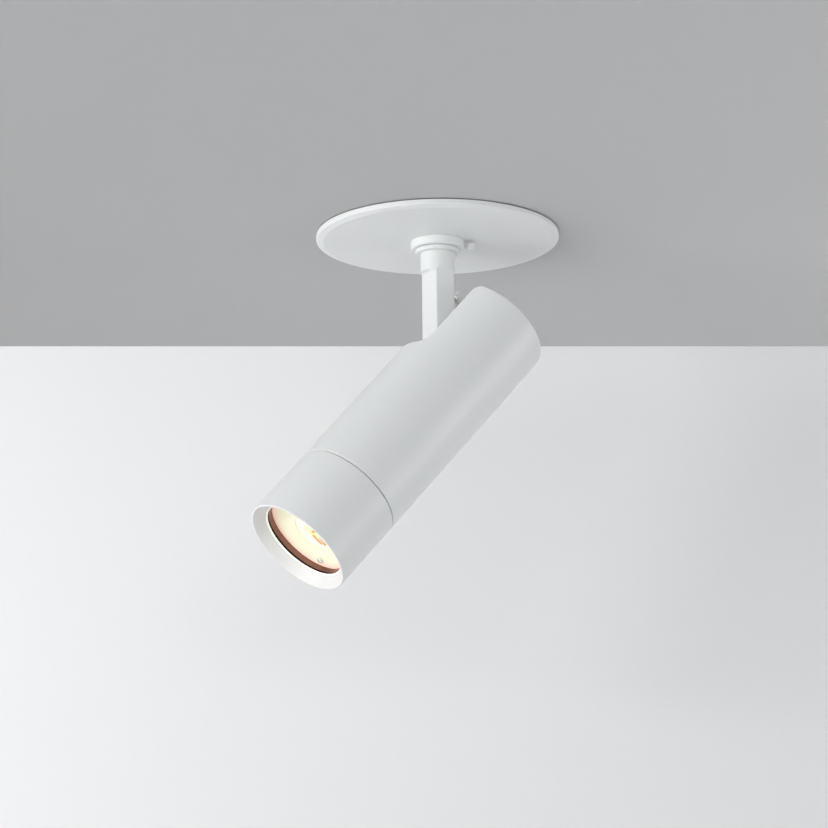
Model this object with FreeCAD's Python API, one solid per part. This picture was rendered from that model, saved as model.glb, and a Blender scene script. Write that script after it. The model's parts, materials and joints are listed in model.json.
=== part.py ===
import FreeCAD, Part
import math
import os

# Adjustable ceiling spotlight: a round plate and a hidden can in the ceiling, a turning stem,
# and a cylindrical head that tilts on a pin inside a rounded notch.
# Millimetres. Origin: centre of the ceiling face. +Z up. The head points towards -X.

# Ceiling plate and gasket
PLATE_R = 55.0
PLATE_LOW_Z = -3.5
PLATE_BEVEL_IN = 3.2
PLATE_BEVEL_UP = 0.9
PLATE_EDGE_ROUND = 0.7
PLATE_TOP_ROUND = 0.2
GASKET_T = 0.35
GASKET_R = 53.4
GASKET_WIDTH = 7.0

# Recess can above the ceiling
CAN_R = 34.0
CAN_WALL = 1.2
CAN_FLOOR_T = 1.5
CAN_TOP_Z = 40.0
LID_T = 1.2
LID_SKIRT_DEPTH = 4.0
LID_FIT = 0.15
STUD_CIRCLE_R = 24.0
STUD_ANGLES = (75.0, 180.0, 285.0)
STUD_R = 1.5
STUD_END_Z = 7.0
STUD_NUT_R = 2.75
NUT_HEIGHT = 2.4
THREAD_FIT = 0.05
BOLT_FIT = 0.2

# Cable entry
INLET_TO_CAN = 20.0
INLET_R = 3.5
GROMMET_R = 6.5
GROMMET_NECK_R = 5.2
GROMMET_LIP = 1.4

# Terminal block
TERMINAL_TO_CAN = 7.0
TERMINAL_TO_TAB = 2.0
TERMINAL_LENGTH = 27.0
TERMINAL_HEIGHT = 13.0
TERMINAL_POLES = 3
TERMINAL_SCREW_R = 1.9
TERMINAL_SCREW_SINK = 2.0
TERMINAL_SLOT_DEPTH = 0.8
TERMINAL_SLOT_WIDTH = 0.9
TERMINAL_WIRE_R = 2.0
TERMINAL_WIRE_RISE = 4.5

# Blade springs that grip the ceiling cut-out
BLADE_COUNT = 3
BLADE_START_DEG = 60.0
BLADE_WIDTH = 10.0
BLADE_T = 0.5
BLADE_TOP_Z = 37.0
BLADE_FLAT_END_Z = 29.0
BLADE_BELLY_Z = 14.0
BLADE_TOE_Z = 5.0
BLADE_BELLY_R = 38.5
BLADE_TOE_R = 36.4
RIVET_R = 1.5
RIVET_HEAD_R = 2.6
RIVET_HEAD_T = 0.9

# Collar under the plate
COLLAR_R = 12.2
COLLAR_LOW_Z = -7.3
COLLAR_WALL = 1.6
COLLAR_FLOOR_T = 0.9
COLLAR_EDGE_ROUND = 0.8

# Swivel bush
BUSH_WALL = 1.4
BUSH_FLANGE_R = 9.0
BUSH_FLANGE_T = 1.0
JOURNAL_R = 5.0
RUN_FIT = 0.05
AXIAL_FIT = 0.1

# Locking lever in the collar
LEVER_DEG = -28.7
LEVER_TRAVEL_DEG = 25.0
LEVER_TOP_Z = -4.6
LEVER_LOW_Z = -6.2
LEVER_KNOB_Z = -7.4
LEVER_RING_WALL = 2.2
LEVER_RING_PLAY = 0.3
LEVER_REACH_R = 16.8
LEVER_WIDTH = 2.4
LEVER_TIP_R = 1.7
LEVER_PLAY_DEG = 3.0
LEVER_PLAY_Z = 0.2

# Stem: ring, round neck, flat bar and eye
RING_R = 10.0
RING_TOP_Z = -7.5
RING_LOW_Z = -9.2
RING_EDGE_ROUND = 0.5
STEM_R = 7.7
STEM_SHOULDER_Z = -18.0
BAR_THICK = 9.4
BAR_WIDE = 14.4
BAR_CORNER_R = 8.3
RUNOUT_R = 8.5
SHOULDER_ROUND = 2.0
EYE_R = 4.9
STEM_TOP_Z = 9.0
STEM_BORE_R = 2.3
WIRE_EXIT_Z = -44.0

# Pan stop, spring washer and nut on the stem
STOP_WASHER_R = 9.5
STOP_WASHER_T = 1.0
STOP_TAB_R = 13.0
STOP_TAB_WIDTH = 4.0
STOP_PIN_R = 1.5
STOP_PIN_CIRCLE_R = 11.5
STOP_PIN_END_Z = 4.0
WAVE_WASHER_R = 8.0
WAVE_WASHER_T = 0.8
STEM_NUT_R = 8.0
STEM_NUT_T = 4.0

# Head placing: the pin carries the head, the head leans from hanging straight down
PIN_Z = -56.0
TILT_DEG = 42.0
HEAD_AXIS_X = 11.0

# Head housing, measured in the straight-down position from the pin
HEAD_R = 25.0
HEAD_WALL = 2.2
REAR_Z = 32.6
REAR_ROUND = 1.5
SEAM_Z = -81.2
SEAM_GAP = 0.4
SEAM_CHAMFER = 0.3

# Notch for the stem
NOTCH_NEAR_Y = -8.8
NOTCH_FLOOR_X = 5.5
NOTCH_FRONT_Z = -6.6
NOTCH_CORNER_R = 4.0
NOTCH_LIP_ROUND = 3.0
NOTCH_WALL = 2.4
CHEEK_CORNER_R = 3.8

# Hinge ear and pin
EAR_R = 5.8
EAR_WIDE = 4.0
EAR_FOOT_Z = 11.0
PIN_R = 2.5
PIN_BOSS_R = 5.0
PIN_BOSS_END_Y = -14.5
PIN_HEAD_R = 4.3
PIN_HEAD_T = 2.2
PIN_SOCKET_R = 1.5
PIN_SOCKET_DEPTH = 1.4
PIN_TIP_GAP = 0.6
FRICTION_WASHER_R = 4.6

# Tilt stop behind the stem: sleeve, washer and screw
STOP_Z = 26.2
STOP_SLEEVE_R = 2.0
STOP_SLEEVE_TOP = 22.0
STOP_DISC_R = 2.4
STOP_DISC_T = 0.5
STOP_NECK_R = 1.9
STOP_NECK_T = 0.8
STOP_HEAD_R = 3.1
STOP_HEAD_T = 1.0
STOP_HEAD_ROUND = 0.4
STOP_SHANK_R = 1.25
STOP_SHANK_END_GAP = 1.5
STOP_RECESS_R = 1.1
STOP_RECESS_DEPTH = 0.8
STOP_BOSS_R = 3.4
STOP_BOSS_LENGTH = 5.0

# Wire grommet in the notch floor
WIRE_Z = 14.0
WIRE_HOLE_R = 3.0
WIRE_LIP_R = 4.2
WIRE_LIP_T = 0.8
WIRE_BORE_R = 1.8

# Rear cap
CAP_T = 2.0
CAP_INSET = 0.6
CAP_FIT = 0.1
CAP_POST_R = 3.2
CAP_POST_TO_SKIN = 11.0
CAP_POST_Y = 10.0
CAP_SCREW_R = 1.5
CAP_SCREW_HEAD_R = 2.8
CAP_SCREW_HEAD_T = 1.5
CAP_SOCKET_R = 1.3
CAP_SOCKET_DEPTH = 0.8
CAP_SCREW_END_GAP = 1.5
CAP_SCREW_LENGTH = 10.0
VENT_COUNT = 3
VENT_PITCH = 4.0
VENT_WIDTH = 1.6
VENT_LENGTH = 12.0
VENT_X = 16.0

# Heat sink, its spacers and tie screws
SINK_CLEAR = 0.4
SINK_REAR_Z = -46.0
SINK_REAR_T = 4.0
SINK_FRONT_Z = -104.9
SINK_FRONT_T = 6.0
SINK_CORE_R = 9.0
SINK_BORE_R = 3.0
WALL_BORE_X = 14.0
FIN_COUNT = 10
FIN_T = 1.6
SKIRT_WALL = 0.9
SKIRT_END_Z = -111.8
TIE_TO_WALL = 7.8
TIE_ANGLES = (-80.0, 0.0, 80.0)
TIE_R = 1.5
TIE_HEAD_R = 2.75
TIE_HEAD_T = 2.6
TIE_BITE = 8.0
TIE_HOLE_DEPTH = 9.5
TIE_SOCKET_R = 1.3
TIE_SOCKET_DEPTH = 1.3
SPACER_WALL = 1.4
O_RING_Z = -101.9
O_RING_SECTION_R = 0.8

# Light source
BOARD_CLEAR = 0.5
BOARD_T = 1.5
CHIP_R = 4.6
CHIP_T = 0.9
DISH_HOLE_R = 9.4
DISH_CLEAR = 0.3
DISH_INNER_T = 0.5
DISH_EDGE_Z = -108.6
DISH_EDGE_T = 1.1
CONTACT_INNER_R = 1.3
CONTACT_OUTER_R = 8.8
CONTACT_WIDTH = 1.5
CONTACT_T = 0.4
CONTACT_FOOT = 1.2
CONTACT_CLEAR = 0.2
CONTACT_ANGLES = (0.0, 270.0)
DISH_SCREW_TO_EDGE = 4.2
DISH_SCREW_COUNT = 2
DISH_SCREW_START_DEG = 38.8
DISH_SCREW_R = 0.9
DISH_SCREW_HEAD_R = 1.6
DISH_SCREW_HEAD_T = 0.9
DISH_SCREW_LENGTH = 5.0
DISH_SCREW_HOLE_DEPTH = 5.0
DISH_SLOT_WIDTH = 0.5
DISH_SLOT_DEPTH = 0.45

# Copper-coloured ring in front of the light source
BAND_WALL = 1.2
BAND_CLEAR = 0.1
BAND_LOW_Z = -112.1
SEAT_GAP = 0.05

# Front barrel
BARREL_END_Z = -117.4
BARREL_LIP_T = 0.8
BARREL_THROAT_T = 5.0
BARREL_THROAT_Z = -112.3
BARREL_RIM_ROUND = 0.35
BARREL_FIT = 0.3

CAP_R = HEAD_R - HEAD_WALL - CAP_FIT
CAP_POST_X = HEAD_AXIS_X + HEAD_R - CAP_POST_TO_SKIN
HEAD_INNER_R = HEAD_R - HEAD_WALL
SINK_R = HEAD_INNER_R - SINK_CLEAR
SKIRT_INNER_R = SINK_R - SKIRT_WALL
TIE_CIRCLE_R = HEAD_INNER_R - TIE_TO_WALL
BOARD_R = SKIRT_INNER_R - BOARD_CLEAR
DISH_R = SKIRT_INNER_R - DISH_CLEAR
DISH_MOUTH_R = DISH_R - DISH_EDGE_T
DISH_SCREW_CIRCLE_R = DISH_R - DISH_SCREW_TO_EDGE
BAND_OUTER_R = SKIRT_INNER_R - BAND_CLEAR
BAND_INNER_R = BAND_OUTER_R - BAND_WALL
BARREL_LIP_R = HEAD_R - BARREL_LIP_T
BARREL_THROAT_R = HEAD_R - BARREL_THROAT_T
GASKET_LOW_Z = -GASKET_T
CAN_LOW_Z = GASKET_LOW_Z
TERMINAL_X = STOP_TAB_R + TERMINAL_TO_TAB
TERMINAL_DEPTH = CAN_R - TERMINAL_TO_CAN - TERMINAL_X
INLET_X = INLET_TO_CAN - CAN_R
CAN_FLOOR_Z = CAN_LOW_Z + CAN_FLOOR_T
BUSH_R = JOURNAL_R + RUN_FIT + BUSH_WALL
NOTCH_FAR = HEAD_R + HEAD_R
FULL_TURN = 360.0
HEX_SIDES = 6


def vec(x, y, z):
    return FreeCAD.Vector(x, y, z)


def rod(radius, low, high, x=0, y=0):
    return Part.makeCylinder(radius, high - low, vec(x, y, low))


def rod_x(radius, low, high, y=0, z=0):
    return Part.makeCylinder(radius, high - low, vec(low, y, z), vec(1, 0, 0))


def rod_y(radius, low, high, x=0, z=0):
    return Part.makeCylinder(radius, high - low, vec(x, low, z), vec(0, 1, 0))


def tube(outer, inner, low, high, x=0, y=0):
    return rod(outer, low, high, x, y).cut(rod(inner, low, high, x, y))


def taper(radius_low, radius_high, low, high, x=0):
    return Part.makeCone(radius_low, radius_high, high - low, vec(x, 0, low))


def block(x0, x1, y0, y1, z0, z1):
    return Part.makeBox(x1 - x0, y1 - y0, z1 - z0, vec(x0, y0, z0))


def hexagon(flats_r, low, high, x=0, y=0):
    corner = flats_r / math.cos(math.radians(FULL_TURN / HEX_SIDES / 2))
    points = []
    for degrees in even_angles(HEX_SIDES, 0):
        angle = math.radians(degrees)
        points.append(vec(x + corner * math.cos(angle), y + corner * math.sin(angle), low))
    points.append(points[0])
    return Part.Face(Part.makePolygon(points)).extrude(vec(0, 0, high - low))


def turned(shape, degrees, x=0):
    copy = shape.copy()
    copy.rotate(vec(x, 0, 0), vec(0, 0, 1), degrees)
    return copy


def around(shape, angles, x=0):
    return [turned(shape, angle, x) for angle in angles]


def even_angles(count, start):
    return [start + FULL_TURN / count * step for step in range(count)]


def fuse(shapes):
    result = shapes[0]
    for shape in shapes[1:]:
        result = result.fuse(shape)
    return result.removeSplitter()


def edges_on_circle(shape, radius, z):
    found = []
    for edge in shape.Edges:
        box = edge.BoundBox
        flat = box.ZLength < THREAD_FIT and abs(box.ZMin - z) < THREAD_FIT
        if flat and abs(box.XLength - radius - radius) < THREAD_FIT:
            found.append(edge)
    return found


def rounded(shape, radius, z, size):
    return shape.makeFillet(size, edges_on_circle(shape, radius, z))


def hung(shape):
    placed = shape.copy()
    placed.rotate(vec(0, 0, 0), vec(0, 1, 0), TILT_DEG)
    placed.translate(vec(0, 0, PIN_Z))
    return placed


def save(name, shape):
    for number, solid in enumerate(shape.Solids):
        if not solid.isValid() or solid.Volume <= 0:
            raise ValueError("%s solid %d is not sound" % (name, number))
    shape.exportStep("parts/%s.step" % name)
    print(name, len(shape.Solids), round(shape.Volume / 1000, 3))


def save_all(name, shapes):
    solids = []
    for shape in shapes:
        solids.extend(shape.Solids)
    save(name, Part.makeCompound(solids) if len(solids) > 1 else solids[0])


# Parts of the fixed body
def ceiling_plate():
    bevel_z = PLATE_LOW_Z + PLATE_BEVEL_UP
    face_r = PLATE_R - PLATE_BEVEL_IN
    plate = fuse([taper(face_r, PLATE_R, PLATE_LOW_Z, bevel_z), rod(PLATE_R, bevel_z, GASKET_LOW_Z)])
    plate = rounded(plate, PLATE_R, bevel_z, PLATE_EDGE_ROUND)
    plate = rounded(plate, face_r, PLATE_LOW_Z, PLATE_EDGE_ROUND)
    plate = rounded(plate, PLATE_R, GASKET_LOW_Z, PLATE_TOP_ROUND)
    return plate.cut(rod(BUSH_R, PLATE_LOW_Z, GASKET_LOW_Z))


def plate_studs():
    stud = rod(STUD_R, GASKET_LOW_Z, STUD_END_Z, STUD_CIRCLE_R)
    return around(stud, STUD_ANGLES)


def stud_nuts():
    nut = hexagon(STUD_NUT_R, CAN_FLOOR_Z, CAN_FLOOR_Z + NUT_HEIGHT, STUD_CIRCLE_R)
    nut = nut.cut(rod(STUD_R + THREAD_FIT, CAN_FLOOR_Z, CAN_FLOOR_Z + NUT_HEIGHT, STUD_CIRCLE_R))
    return around(nut, STUD_ANGLES)


def gasket_ring():
    return tube(GASKET_R, GASKET_R - GASKET_WIDTH, GASKET_LOW_Z, 0)


def blade_angles():
    return even_angles(BLADE_COUNT, BLADE_START_DEG)


def blade_rivet_z():
    return (BLADE_TOP_Z + BLADE_FLAT_END_Z) / 2


def mounting_can():
    can = rod(CAN_R, CAN_LOW_Z, CAN_TOP_Z)
    can = can.cut(rod(CAN_R - CAN_WALL, CAN_FLOOR_Z, CAN_TOP_Z))
    can = can.cut(rod(BUSH_R, CAN_LOW_Z, CAN_FLOOR_Z))
    hole = rod(STUD_R + BOLT_FIT, CAN_LOW_Z, CAN_FLOOR_Z, STUD_CIRCLE_R)
    rivet = rod_x(RIVET_R, CAN_R - CAN_WALL - RIVET_R, CAN_R, 0, blade_rivet_z())
    cutters = around(hole, STUD_ANGLES) + around(rivet, blade_angles())
    for cutter in cutters:
        can = can.cut(cutter)
    return can


def can_lid():
    skirt_r = CAN_R - CAN_WALL - LID_FIT
    lid = rod(CAN_R, CAN_TOP_Z, CAN_TOP_Z + LID_T)
    skirt = tube(skirt_r, skirt_r - CAN_WALL, CAN_TOP_Z - LID_SKIRT_DEPTH, CAN_TOP_Z)
    lid = fuse([lid, skirt])
    return lid.cut(rod(GROMMET_NECK_R, CAN_TOP_Z, CAN_TOP_Z + LID_T, INLET_X))


def cable_grommet():
    low = CAN_TOP_Z - GROMMET_LIP
    high = CAN_TOP_Z + LID_T + GROMMET_LIP
    neck = rod(GROMMET_NECK_R, low, high, INLET_X)
    lips = [rod(GROMMET_R, low, CAN_TOP_Z, INLET_X), rod(GROMMET_R, CAN_TOP_Z + LID_T, high, INLET_X)]
    return fuse([neck] + lips).cut(rod(INLET_R, low, high, INLET_X))


def pole_y(pole):
    pitch = TERMINAL_LENGTH / TERMINAL_POLES
    return pitch * (pole - (TERMINAL_POLES - 1) / 2)


def terminal_block():
    top = CAN_FLOOR_Z + TERMINAL_HEIGHT
    half = TERMINAL_LENGTH / 2
    end_x = TERMINAL_X + TERMINAL_DEPTH
    body = block(TERMINAL_X, end_x, -half, half, CAN_FLOOR_Z, top)
    for pole in range(TERMINAL_POLES):
        y = pole_y(pole)
        mid_x = TERMINAL_X + TERMINAL_DEPTH / 2
        shaft_low = CAN_FLOOR_Z + TERMINAL_WIRE_RISE
        body = body.cut(rod(TERMINAL_SCREW_R + BOLT_FIT, shaft_low, top, mid_x, y))
        body = body.cut(rod_x(TERMINAL_WIRE_R, TERMINAL_X, end_x, y, shaft_low))
    return body


def terminal_screws():
    mid_x = TERMINAL_X + TERMINAL_DEPTH / 2
    top = CAN_FLOOR_Z + TERMINAL_HEIGHT - TERMINAL_SCREW_SINK
    low = CAN_FLOOR_Z + TERMINAL_WIRE_RISE + TERMINAL_WIRE_R
    screws = []
    for pole in range(TERMINAL_POLES):
        y = pole_y(pole)
        screw = rod(TERMINAL_SCREW_R + BOLT_FIT - THREAD_FIT, low, top, mid_x, y)
        half = TERMINAL_SLOT_WIDTH / 2
        slot = block(TERMINAL_X, TERMINAL_X + TERMINAL_DEPTH, y - half, y + half,
                     top - TERMINAL_SLOT_DEPTH, top)
        screws.append(screw.cut(slot))
    return screws


def retaining_blades():
    inner = [(CAN_R, BLADE_TOP_Z), (CAN_R, BLADE_FLAT_END_Z)]
    inner += [(BLADE_BELLY_R - BLADE_T, BLADE_BELLY_Z), (BLADE_TOE_R - BLADE_T, BLADE_TOE_Z)]
    outer = [(r + BLADE_T, z) for r, z in inner]
    outline = inner + outer[::-1]
    outline.append(inner[0])
    half = BLADE_WIDTH / 2
    wire = Part.makePolygon([vec(r, -half, z) for r, z in outline])
    blade = Part.Face(wire).extrude(vec(0, BLADE_WIDTH, 0))
    blade = blade.cut(rod(CAN_R + RUN_FIT, BLADE_TOE_Z, BLADE_TOP_Z))
    blade = blade.cut(rod_x(RIVET_R, CAN_R - CAN_WALL, CAN_R + CAN_WALL, 0, blade_rivet_z()))
    return around(blade, blade_angles())


def blade_rivets():
    z = blade_rivet_z()
    back = CAN_R - CAN_WALL - RIVET_HEAD_T
    front = CAN_R + BLADE_T
    shank = rod_x(RIVET_R - THREAD_FIT, back, front, 0, z)
    wall = tube(CAN_R, CAN_R - CAN_WALL - RUN_FIT, 0, CAN_TOP_Z)
    inner_head = rod_x(RIVET_HEAD_R, back, back + RIVET_HEAD_T, 0, z).cut(wall)
    outer_head = rod_x(RIVET_HEAD_R, front, front + RIVET_HEAD_T, 0, z)
    rivet = fuse([shank, inner_head, outer_head])
    return around(rivet, blade_angles())


def pan_stop_pin():
    return rod(STOP_PIN_R, CAN_FLOOR_Z, STOP_PIN_END_Z, -STOP_PIN_CIRCLE_R)


def collar():
    body = rod(COLLAR_R, COLLAR_LOW_Z, PLATE_LOW_Z)
    body = rounded(body, COLLAR_R, COLLAR_LOW_Z, COLLAR_EDGE_ROUND)
    body = body.cut(rod(COLLAR_R - COLLAR_WALL, COLLAR_LOW_Z + COLLAR_FLOOR_T, PLATE_LOW_Z))
    body = body.cut(rod(BUSH_R, COLLAR_LOW_Z, PLATE_LOW_Z))
    window = lever_window()
    return body.cut(window)


def lever_window():
    low = LEVER_LOW_Z - LEVER_PLAY_Z
    high = LEVER_TOP_Z + LEVER_PLAY_Z
    half = math.degrees(math.asin((LEVER_WIDTH / 2) / (COLLAR_R - COLLAR_WALL)))
    spread = LEVER_TRAVEL_DEG + half + half + LEVER_PLAY_DEG
    start = LEVER_DEG - half - LEVER_PLAY_DEG / 2
    wedge = Part.makeCylinder(LEVER_REACH_R, high - low, vec(0, 0, low), vec(0, 0, 1), spread)
    wedge.rotate(vec(0, 0, 0), vec(0, 0, 1), start)
    return wedge.cut(rod(BUSH_R + BUSH_WALL, low, high))


def swivel_bush():
    inner = JOURNAL_R + RUN_FIT
    body = rod(BUSH_R, COLLAR_LOW_Z, CAN_FLOOR_Z)
    flange = rod(BUSH_FLANGE_R, CAN_FLOOR_Z, CAN_FLOOR_Z + BUSH_FLANGE_T)
    return fuse([body, flange]).cut(rod(inner, COLLAR_LOW_Z, CAN_FLOOR_Z + BUSH_FLANGE_T))


def lock_lever():
    inner = BUSH_R + LEVER_RING_PLAY
    ring = tube(inner + LEVER_RING_WALL, inner, LEVER_LOW_Z, LEVER_TOP_Z)
    half = LEVER_WIDTH / 2
    tip_x = LEVER_REACH_R - LEVER_TIP_R
    arm = block(inner + LEVER_RING_WALL / 2, tip_x, -half, half, LEVER_LOW_Z, LEVER_TOP_Z)
    tip = rod(LEVER_TIP_R, LEVER_KNOB_Z, LEVER_TOP_Z, tip_x)
    return turned(fuse([ring, arm, tip]), LEVER_DEG)


# Parts that turn with the stem
def bar_shape(low, high):
    half_x = BAR_THICK / 2
    half_y = BAR_WIDE / 2
    return block(-half_x, half_x, -half_y, half_y, low, high).common(rod(BAR_CORNER_R, low, high))


def wide_face_runout(side):
    far = STEM_R + STEM_R
    near = BAR_WIDE / 2
    runout = rod_x(RUNOUT_R, -far, far, near + RUNOUT_R, STEM_SHOULDER_Z)
    runout = runout.common(block(-far, far, near, far, STEM_SHOULDER_Z, RING_LOW_Z))
    return turned(runout, side)


def shoulder_root(side):
    half_x = BAR_THICK / 2
    half_y = BAR_WIDE / 2
    low = STEM_SHOULDER_Z - SHOULDER_ROUND
    root_x = half_x + SHOULDER_ROUND
    root = block(half_x, root_x, -half_y, half_y, low, STEM_SHOULDER_Z)
    root = root.cut(rod_y(SHOULDER_ROUND, -half_y, half_y, root_x, low))
    return turned(root.common(rod(STEM_R, low, STEM_SHOULDER_Z)), side)


def stem():
    sides = (0, FULL_TURN / 2)
    neck = rod(STEM_R, STEM_SHOULDER_Z, RING_LOW_Z)
    for side in sides:
        neck = neck.cut(wide_face_runout(side))
    journal = rod(JOURNAL_R, RING_LOW_Z, STEM_TOP_Z)
    bar = bar_shape(PIN_Z, STEM_SHOULDER_Z)
    half_y = BAR_WIDE / 2
    eye = rod_y(EYE_R, -half_y, half_y, 0, PIN_Z)
    eye = eye.common(rod(BAR_CORNER_R, PIN_Z - EYE_R, PIN_Z + EYE_R))
    body = fuse([journal, neck, bar, eye] + [shoulder_root(side) for side in sides])
    body = body.cut(rod(STEM_BORE_R, WIRE_EXIT_Z, STEM_TOP_Z))
    body = body.cut(rod_x(STEM_BORE_R, 0, STEM_R, 0, WIRE_EXIT_Z))
    return body.cut(rod_y(PIN_R, -half_y, half_y, 0, PIN_Z))


def swivel_ring():
    ring = rod(RING_R, RING_LOW_Z, RING_TOP_Z)
    ring = rounded(ring, RING_R, RING_LOW_Z, RING_EDGE_ROUND)
    return ring.cut(rod(JOURNAL_R, RING_LOW_Z, RING_TOP_Z))


def stop_washer_low():
    return CAN_FLOOR_Z + BUSH_FLANGE_T + AXIAL_FIT


def pan_stop_washer():
    low = stop_washer_low()
    high = low + STOP_WASHER_T
    half = STOP_TAB_WIDTH / 2
    disc = rod(STOP_WASHER_R, low, high)
    tab = block(0, STOP_TAB_R, -half, half, low, high)
    return fuse([disc, tab]).cut(rod(JOURNAL_R, low, high))


def wave_washer():
    low = stop_washer_low() + STOP_WASHER_T
    return tube(WAVE_WASHER_R, JOURNAL_R + THREAD_FIT, low, low + WAVE_WASHER_T)


def stem_nut():
    low = stop_washer_low() + STOP_WASHER_T + WAVE_WASHER_T
    nut = hexagon(STEM_NUT_R, low, low + STEM_NUT_T)
    return nut.cut(rod(JOURNAL_R, low, low + STEM_NUT_T))


# Parts of the head, built hanging straight down from the pin
def notch_box(grow):
    box = block(-NOTCH_FAR, NOTCH_FLOOR_X + grow, NOTCH_NEAR_Y - grow, NOTCH_FAR,
                NOTCH_FRONT_Z - grow, NOTCH_FAR)
    corner = []
    for edge in box.Edges:
        room = edge.BoundBox
        at_near = abs(room.YMax - NOTCH_NEAR_Y + grow) < THREAD_FIT
        at_front = abs(room.ZMax - NOTCH_FRONT_Z + grow) < THREAD_FIT
        if at_near and at_front:
            corner.append(edge)
    return box.makeFillet(NOTCH_CORNER_R + grow, corner)


def lip_edges(shape):
    found = []
    for edge in shape.Edges:
        middle = edge.valueAt((edge.FirstParameter + edge.LastParameter) / 2)
        reach = math.hypot(middle.x - HEAD_AXIS_X, middle.y)
        on_skin = abs(reach - HEAD_R) < THREAD_FIT
        if on_skin and NOTCH_FRONT_Z - THREAD_FIT < middle.z < REAR_Z - THREAD_FIT:
            found.append(edge)
    return found


def cheek_corner():
    lip_r = HEAD_R - NOTCH_LIP_ROUND
    lip_y = NOTCH_NEAR_Y - NOTCH_LIP_ROUND
    lip_x = HEAD_AXIS_X - math.sqrt(lip_r * lip_r - lip_y * lip_y)
    inner_x = lip_x - NOTCH_LIP_ROUND + CHEEK_CORNER_R
    inner_z = REAR_Z - CHEEK_CORNER_R
    waste = block(-NOTCH_FAR, inner_x, -HEAD_R, HEAD_R, inner_z, NOTCH_FAR)
    return waste.cut(rod_y(CHEEK_CORNER_R, -HEAD_R, HEAD_R, inner_x, inner_z))


def housing_shell():
    low = SEAM_Z + SEAM_GAP / 2
    shell = rod(HEAD_R, low, REAR_Z, HEAD_AXIS_X).cut(notch_box(0))
    shell = shell.makeFillet(NOTCH_LIP_ROUND, lip_edges(shell))
    outline = rounded(rod(HEAD_R, low, REAR_Z, HEAD_AXIS_X), HEAD_R, REAR_Z, REAR_ROUND)
    outline = outline.makeChamfer(SEAM_CHAMFER, edges_on_circle(outline, HEAD_R, low))
    shell = shell.common(outline).cut(cheek_corner())
    wall_z = NOTCH_FRONT_Z - NOTCH_WALL
    shell = shell.cut(rod(HEAD_INNER_R, low, wall_z, HEAD_AXIS_X))
    rear_room = rod(HEAD_INNER_R, NOTCH_FRONT_Z, REAR_Z, HEAD_AXIS_X)
    return shell.cut(rear_room.cut(notch_box(NOTCH_WALL)))


def hinge_ear():
    near = -NOTCH_NEAR_Y
    far = near + EAR_WIDE
    floor = NOTCH_FLOOR_X + NOTCH_WALL / 2
    knob = rod_y(EAR_R, near, far)
    web = block(0, floor, near, far, -EAR_R, EAR_R)
    tip = vec(0, near, EAR_R)
    gusset = Part.makePolygon([tip, vec(floor, near, EAR_FOOT_Z), vec(floor, near, EAR_R), tip])
    return fuse([knob, web, Part.Face(gusset).extrude(vec(0, EAR_WIDE, 0))])


def cap_posts(radius, low, high):
    return [rod(radius, low, high, CAP_POST_X, side * CAP_POST_Y) for side in (-1, 1)]


def cap_low_z():
    return REAR_Z - CAP_INSET - CAP_T


def head_housing():
    stop_low = NOTCH_FLOOR_X
    stop_end = NOTCH_FLOOR_X + NOTCH_WALL + STOP_BOSS_LENGTH
    boss = rod_x(STOP_BOSS_R, stop_low + NOTCH_WALL / 2, stop_end, 0, STOP_Z)
    pin_boss = rod_y(PIN_BOSS_R, PIN_BOSS_END_Y, NOTCH_NEAR_Y - NOTCH_WALL / 2)
    posts = cap_posts(CAP_POST_R, NOTCH_FRONT_Z, cap_low_z())
    shape = fuse([housing_shell(), hinge_ear(), boss, pin_boss] + posts)
    shape = shape.cut(rod_y(PIN_R, PIN_BOSS_END_Y, -NOTCH_NEAR_Y + EAR_WIDE))
    shape = shape.cut(rod_y(FRICTION_WASHER_R + BOLT_FIT, NOTCH_NEAR_Y, 0))
    shape = shape.cut(rod_x(STOP_SHANK_R, stop_low, stop_end, 0, STOP_Z))
    shape = shape.cut(rod_x(WIRE_HOLE_R, stop_low, stop_low + NOTCH_WALL, 0, WIRE_Z))
    for hole in cap_posts(CAP_SCREW_R, cap_low_z() - CAP_SCREW_LENGTH, cap_low_z()):
        shape = shape.cut(hole)
    wall_z = NOTCH_FRONT_Z - NOTCH_WALL
    tie = rod(TIE_R + BOLT_FIT, wall_z, NOTCH_FRONT_Z, HEAD_AXIS_X + TIE_CIRCLE_R)
    for hole in around(tie, TIE_ANGLES, HEAD_AXIS_X):
        shape = shape.cut(hole)
    return shape.cut(rod(SINK_BORE_R, wall_z, NOTCH_FRONT_Z, WALL_BORE_X))


def rear_cap():
    low = cap_low_z()
    cap = rod(CAP_R, low, low + CAP_T, HEAD_AXIS_X).cut(notch_box(NOTCH_WALL + CAP_FIT))
    for hole in cap_posts(CAP_SCREW_R + BOLT_FIT, low, low + CAP_T):
        cap = cap.cut(hole)
    half = VENT_LENGTH / 2
    for vent in range(VENT_COUNT):
        x = VENT_X + VENT_PITCH * vent - VENT_WIDTH / 2
        cap = cap.cut(block(x, x + VENT_WIDTH, -half, half, low, low + CAP_T))
    return cap


def cap_screws():
    seat = cap_low_z() + CAP_T
    top = seat + CAP_SCREW_HEAD_T
    end = cap_low_z() - CAP_SCREW_LENGTH + CAP_SCREW_END_GAP
    heads = cap_posts(CAP_SCREW_HEAD_R, seat, top)
    shanks = cap_posts(CAP_SCREW_R - THREAD_FIT, end, seat)
    sockets = cap_posts(CAP_SOCKET_R, top - CAP_SOCKET_DEPTH, top)
    return [fuse([head, shank]).cut(socket) for head, shank, socket in zip(heads, shanks, sockets)]


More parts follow.
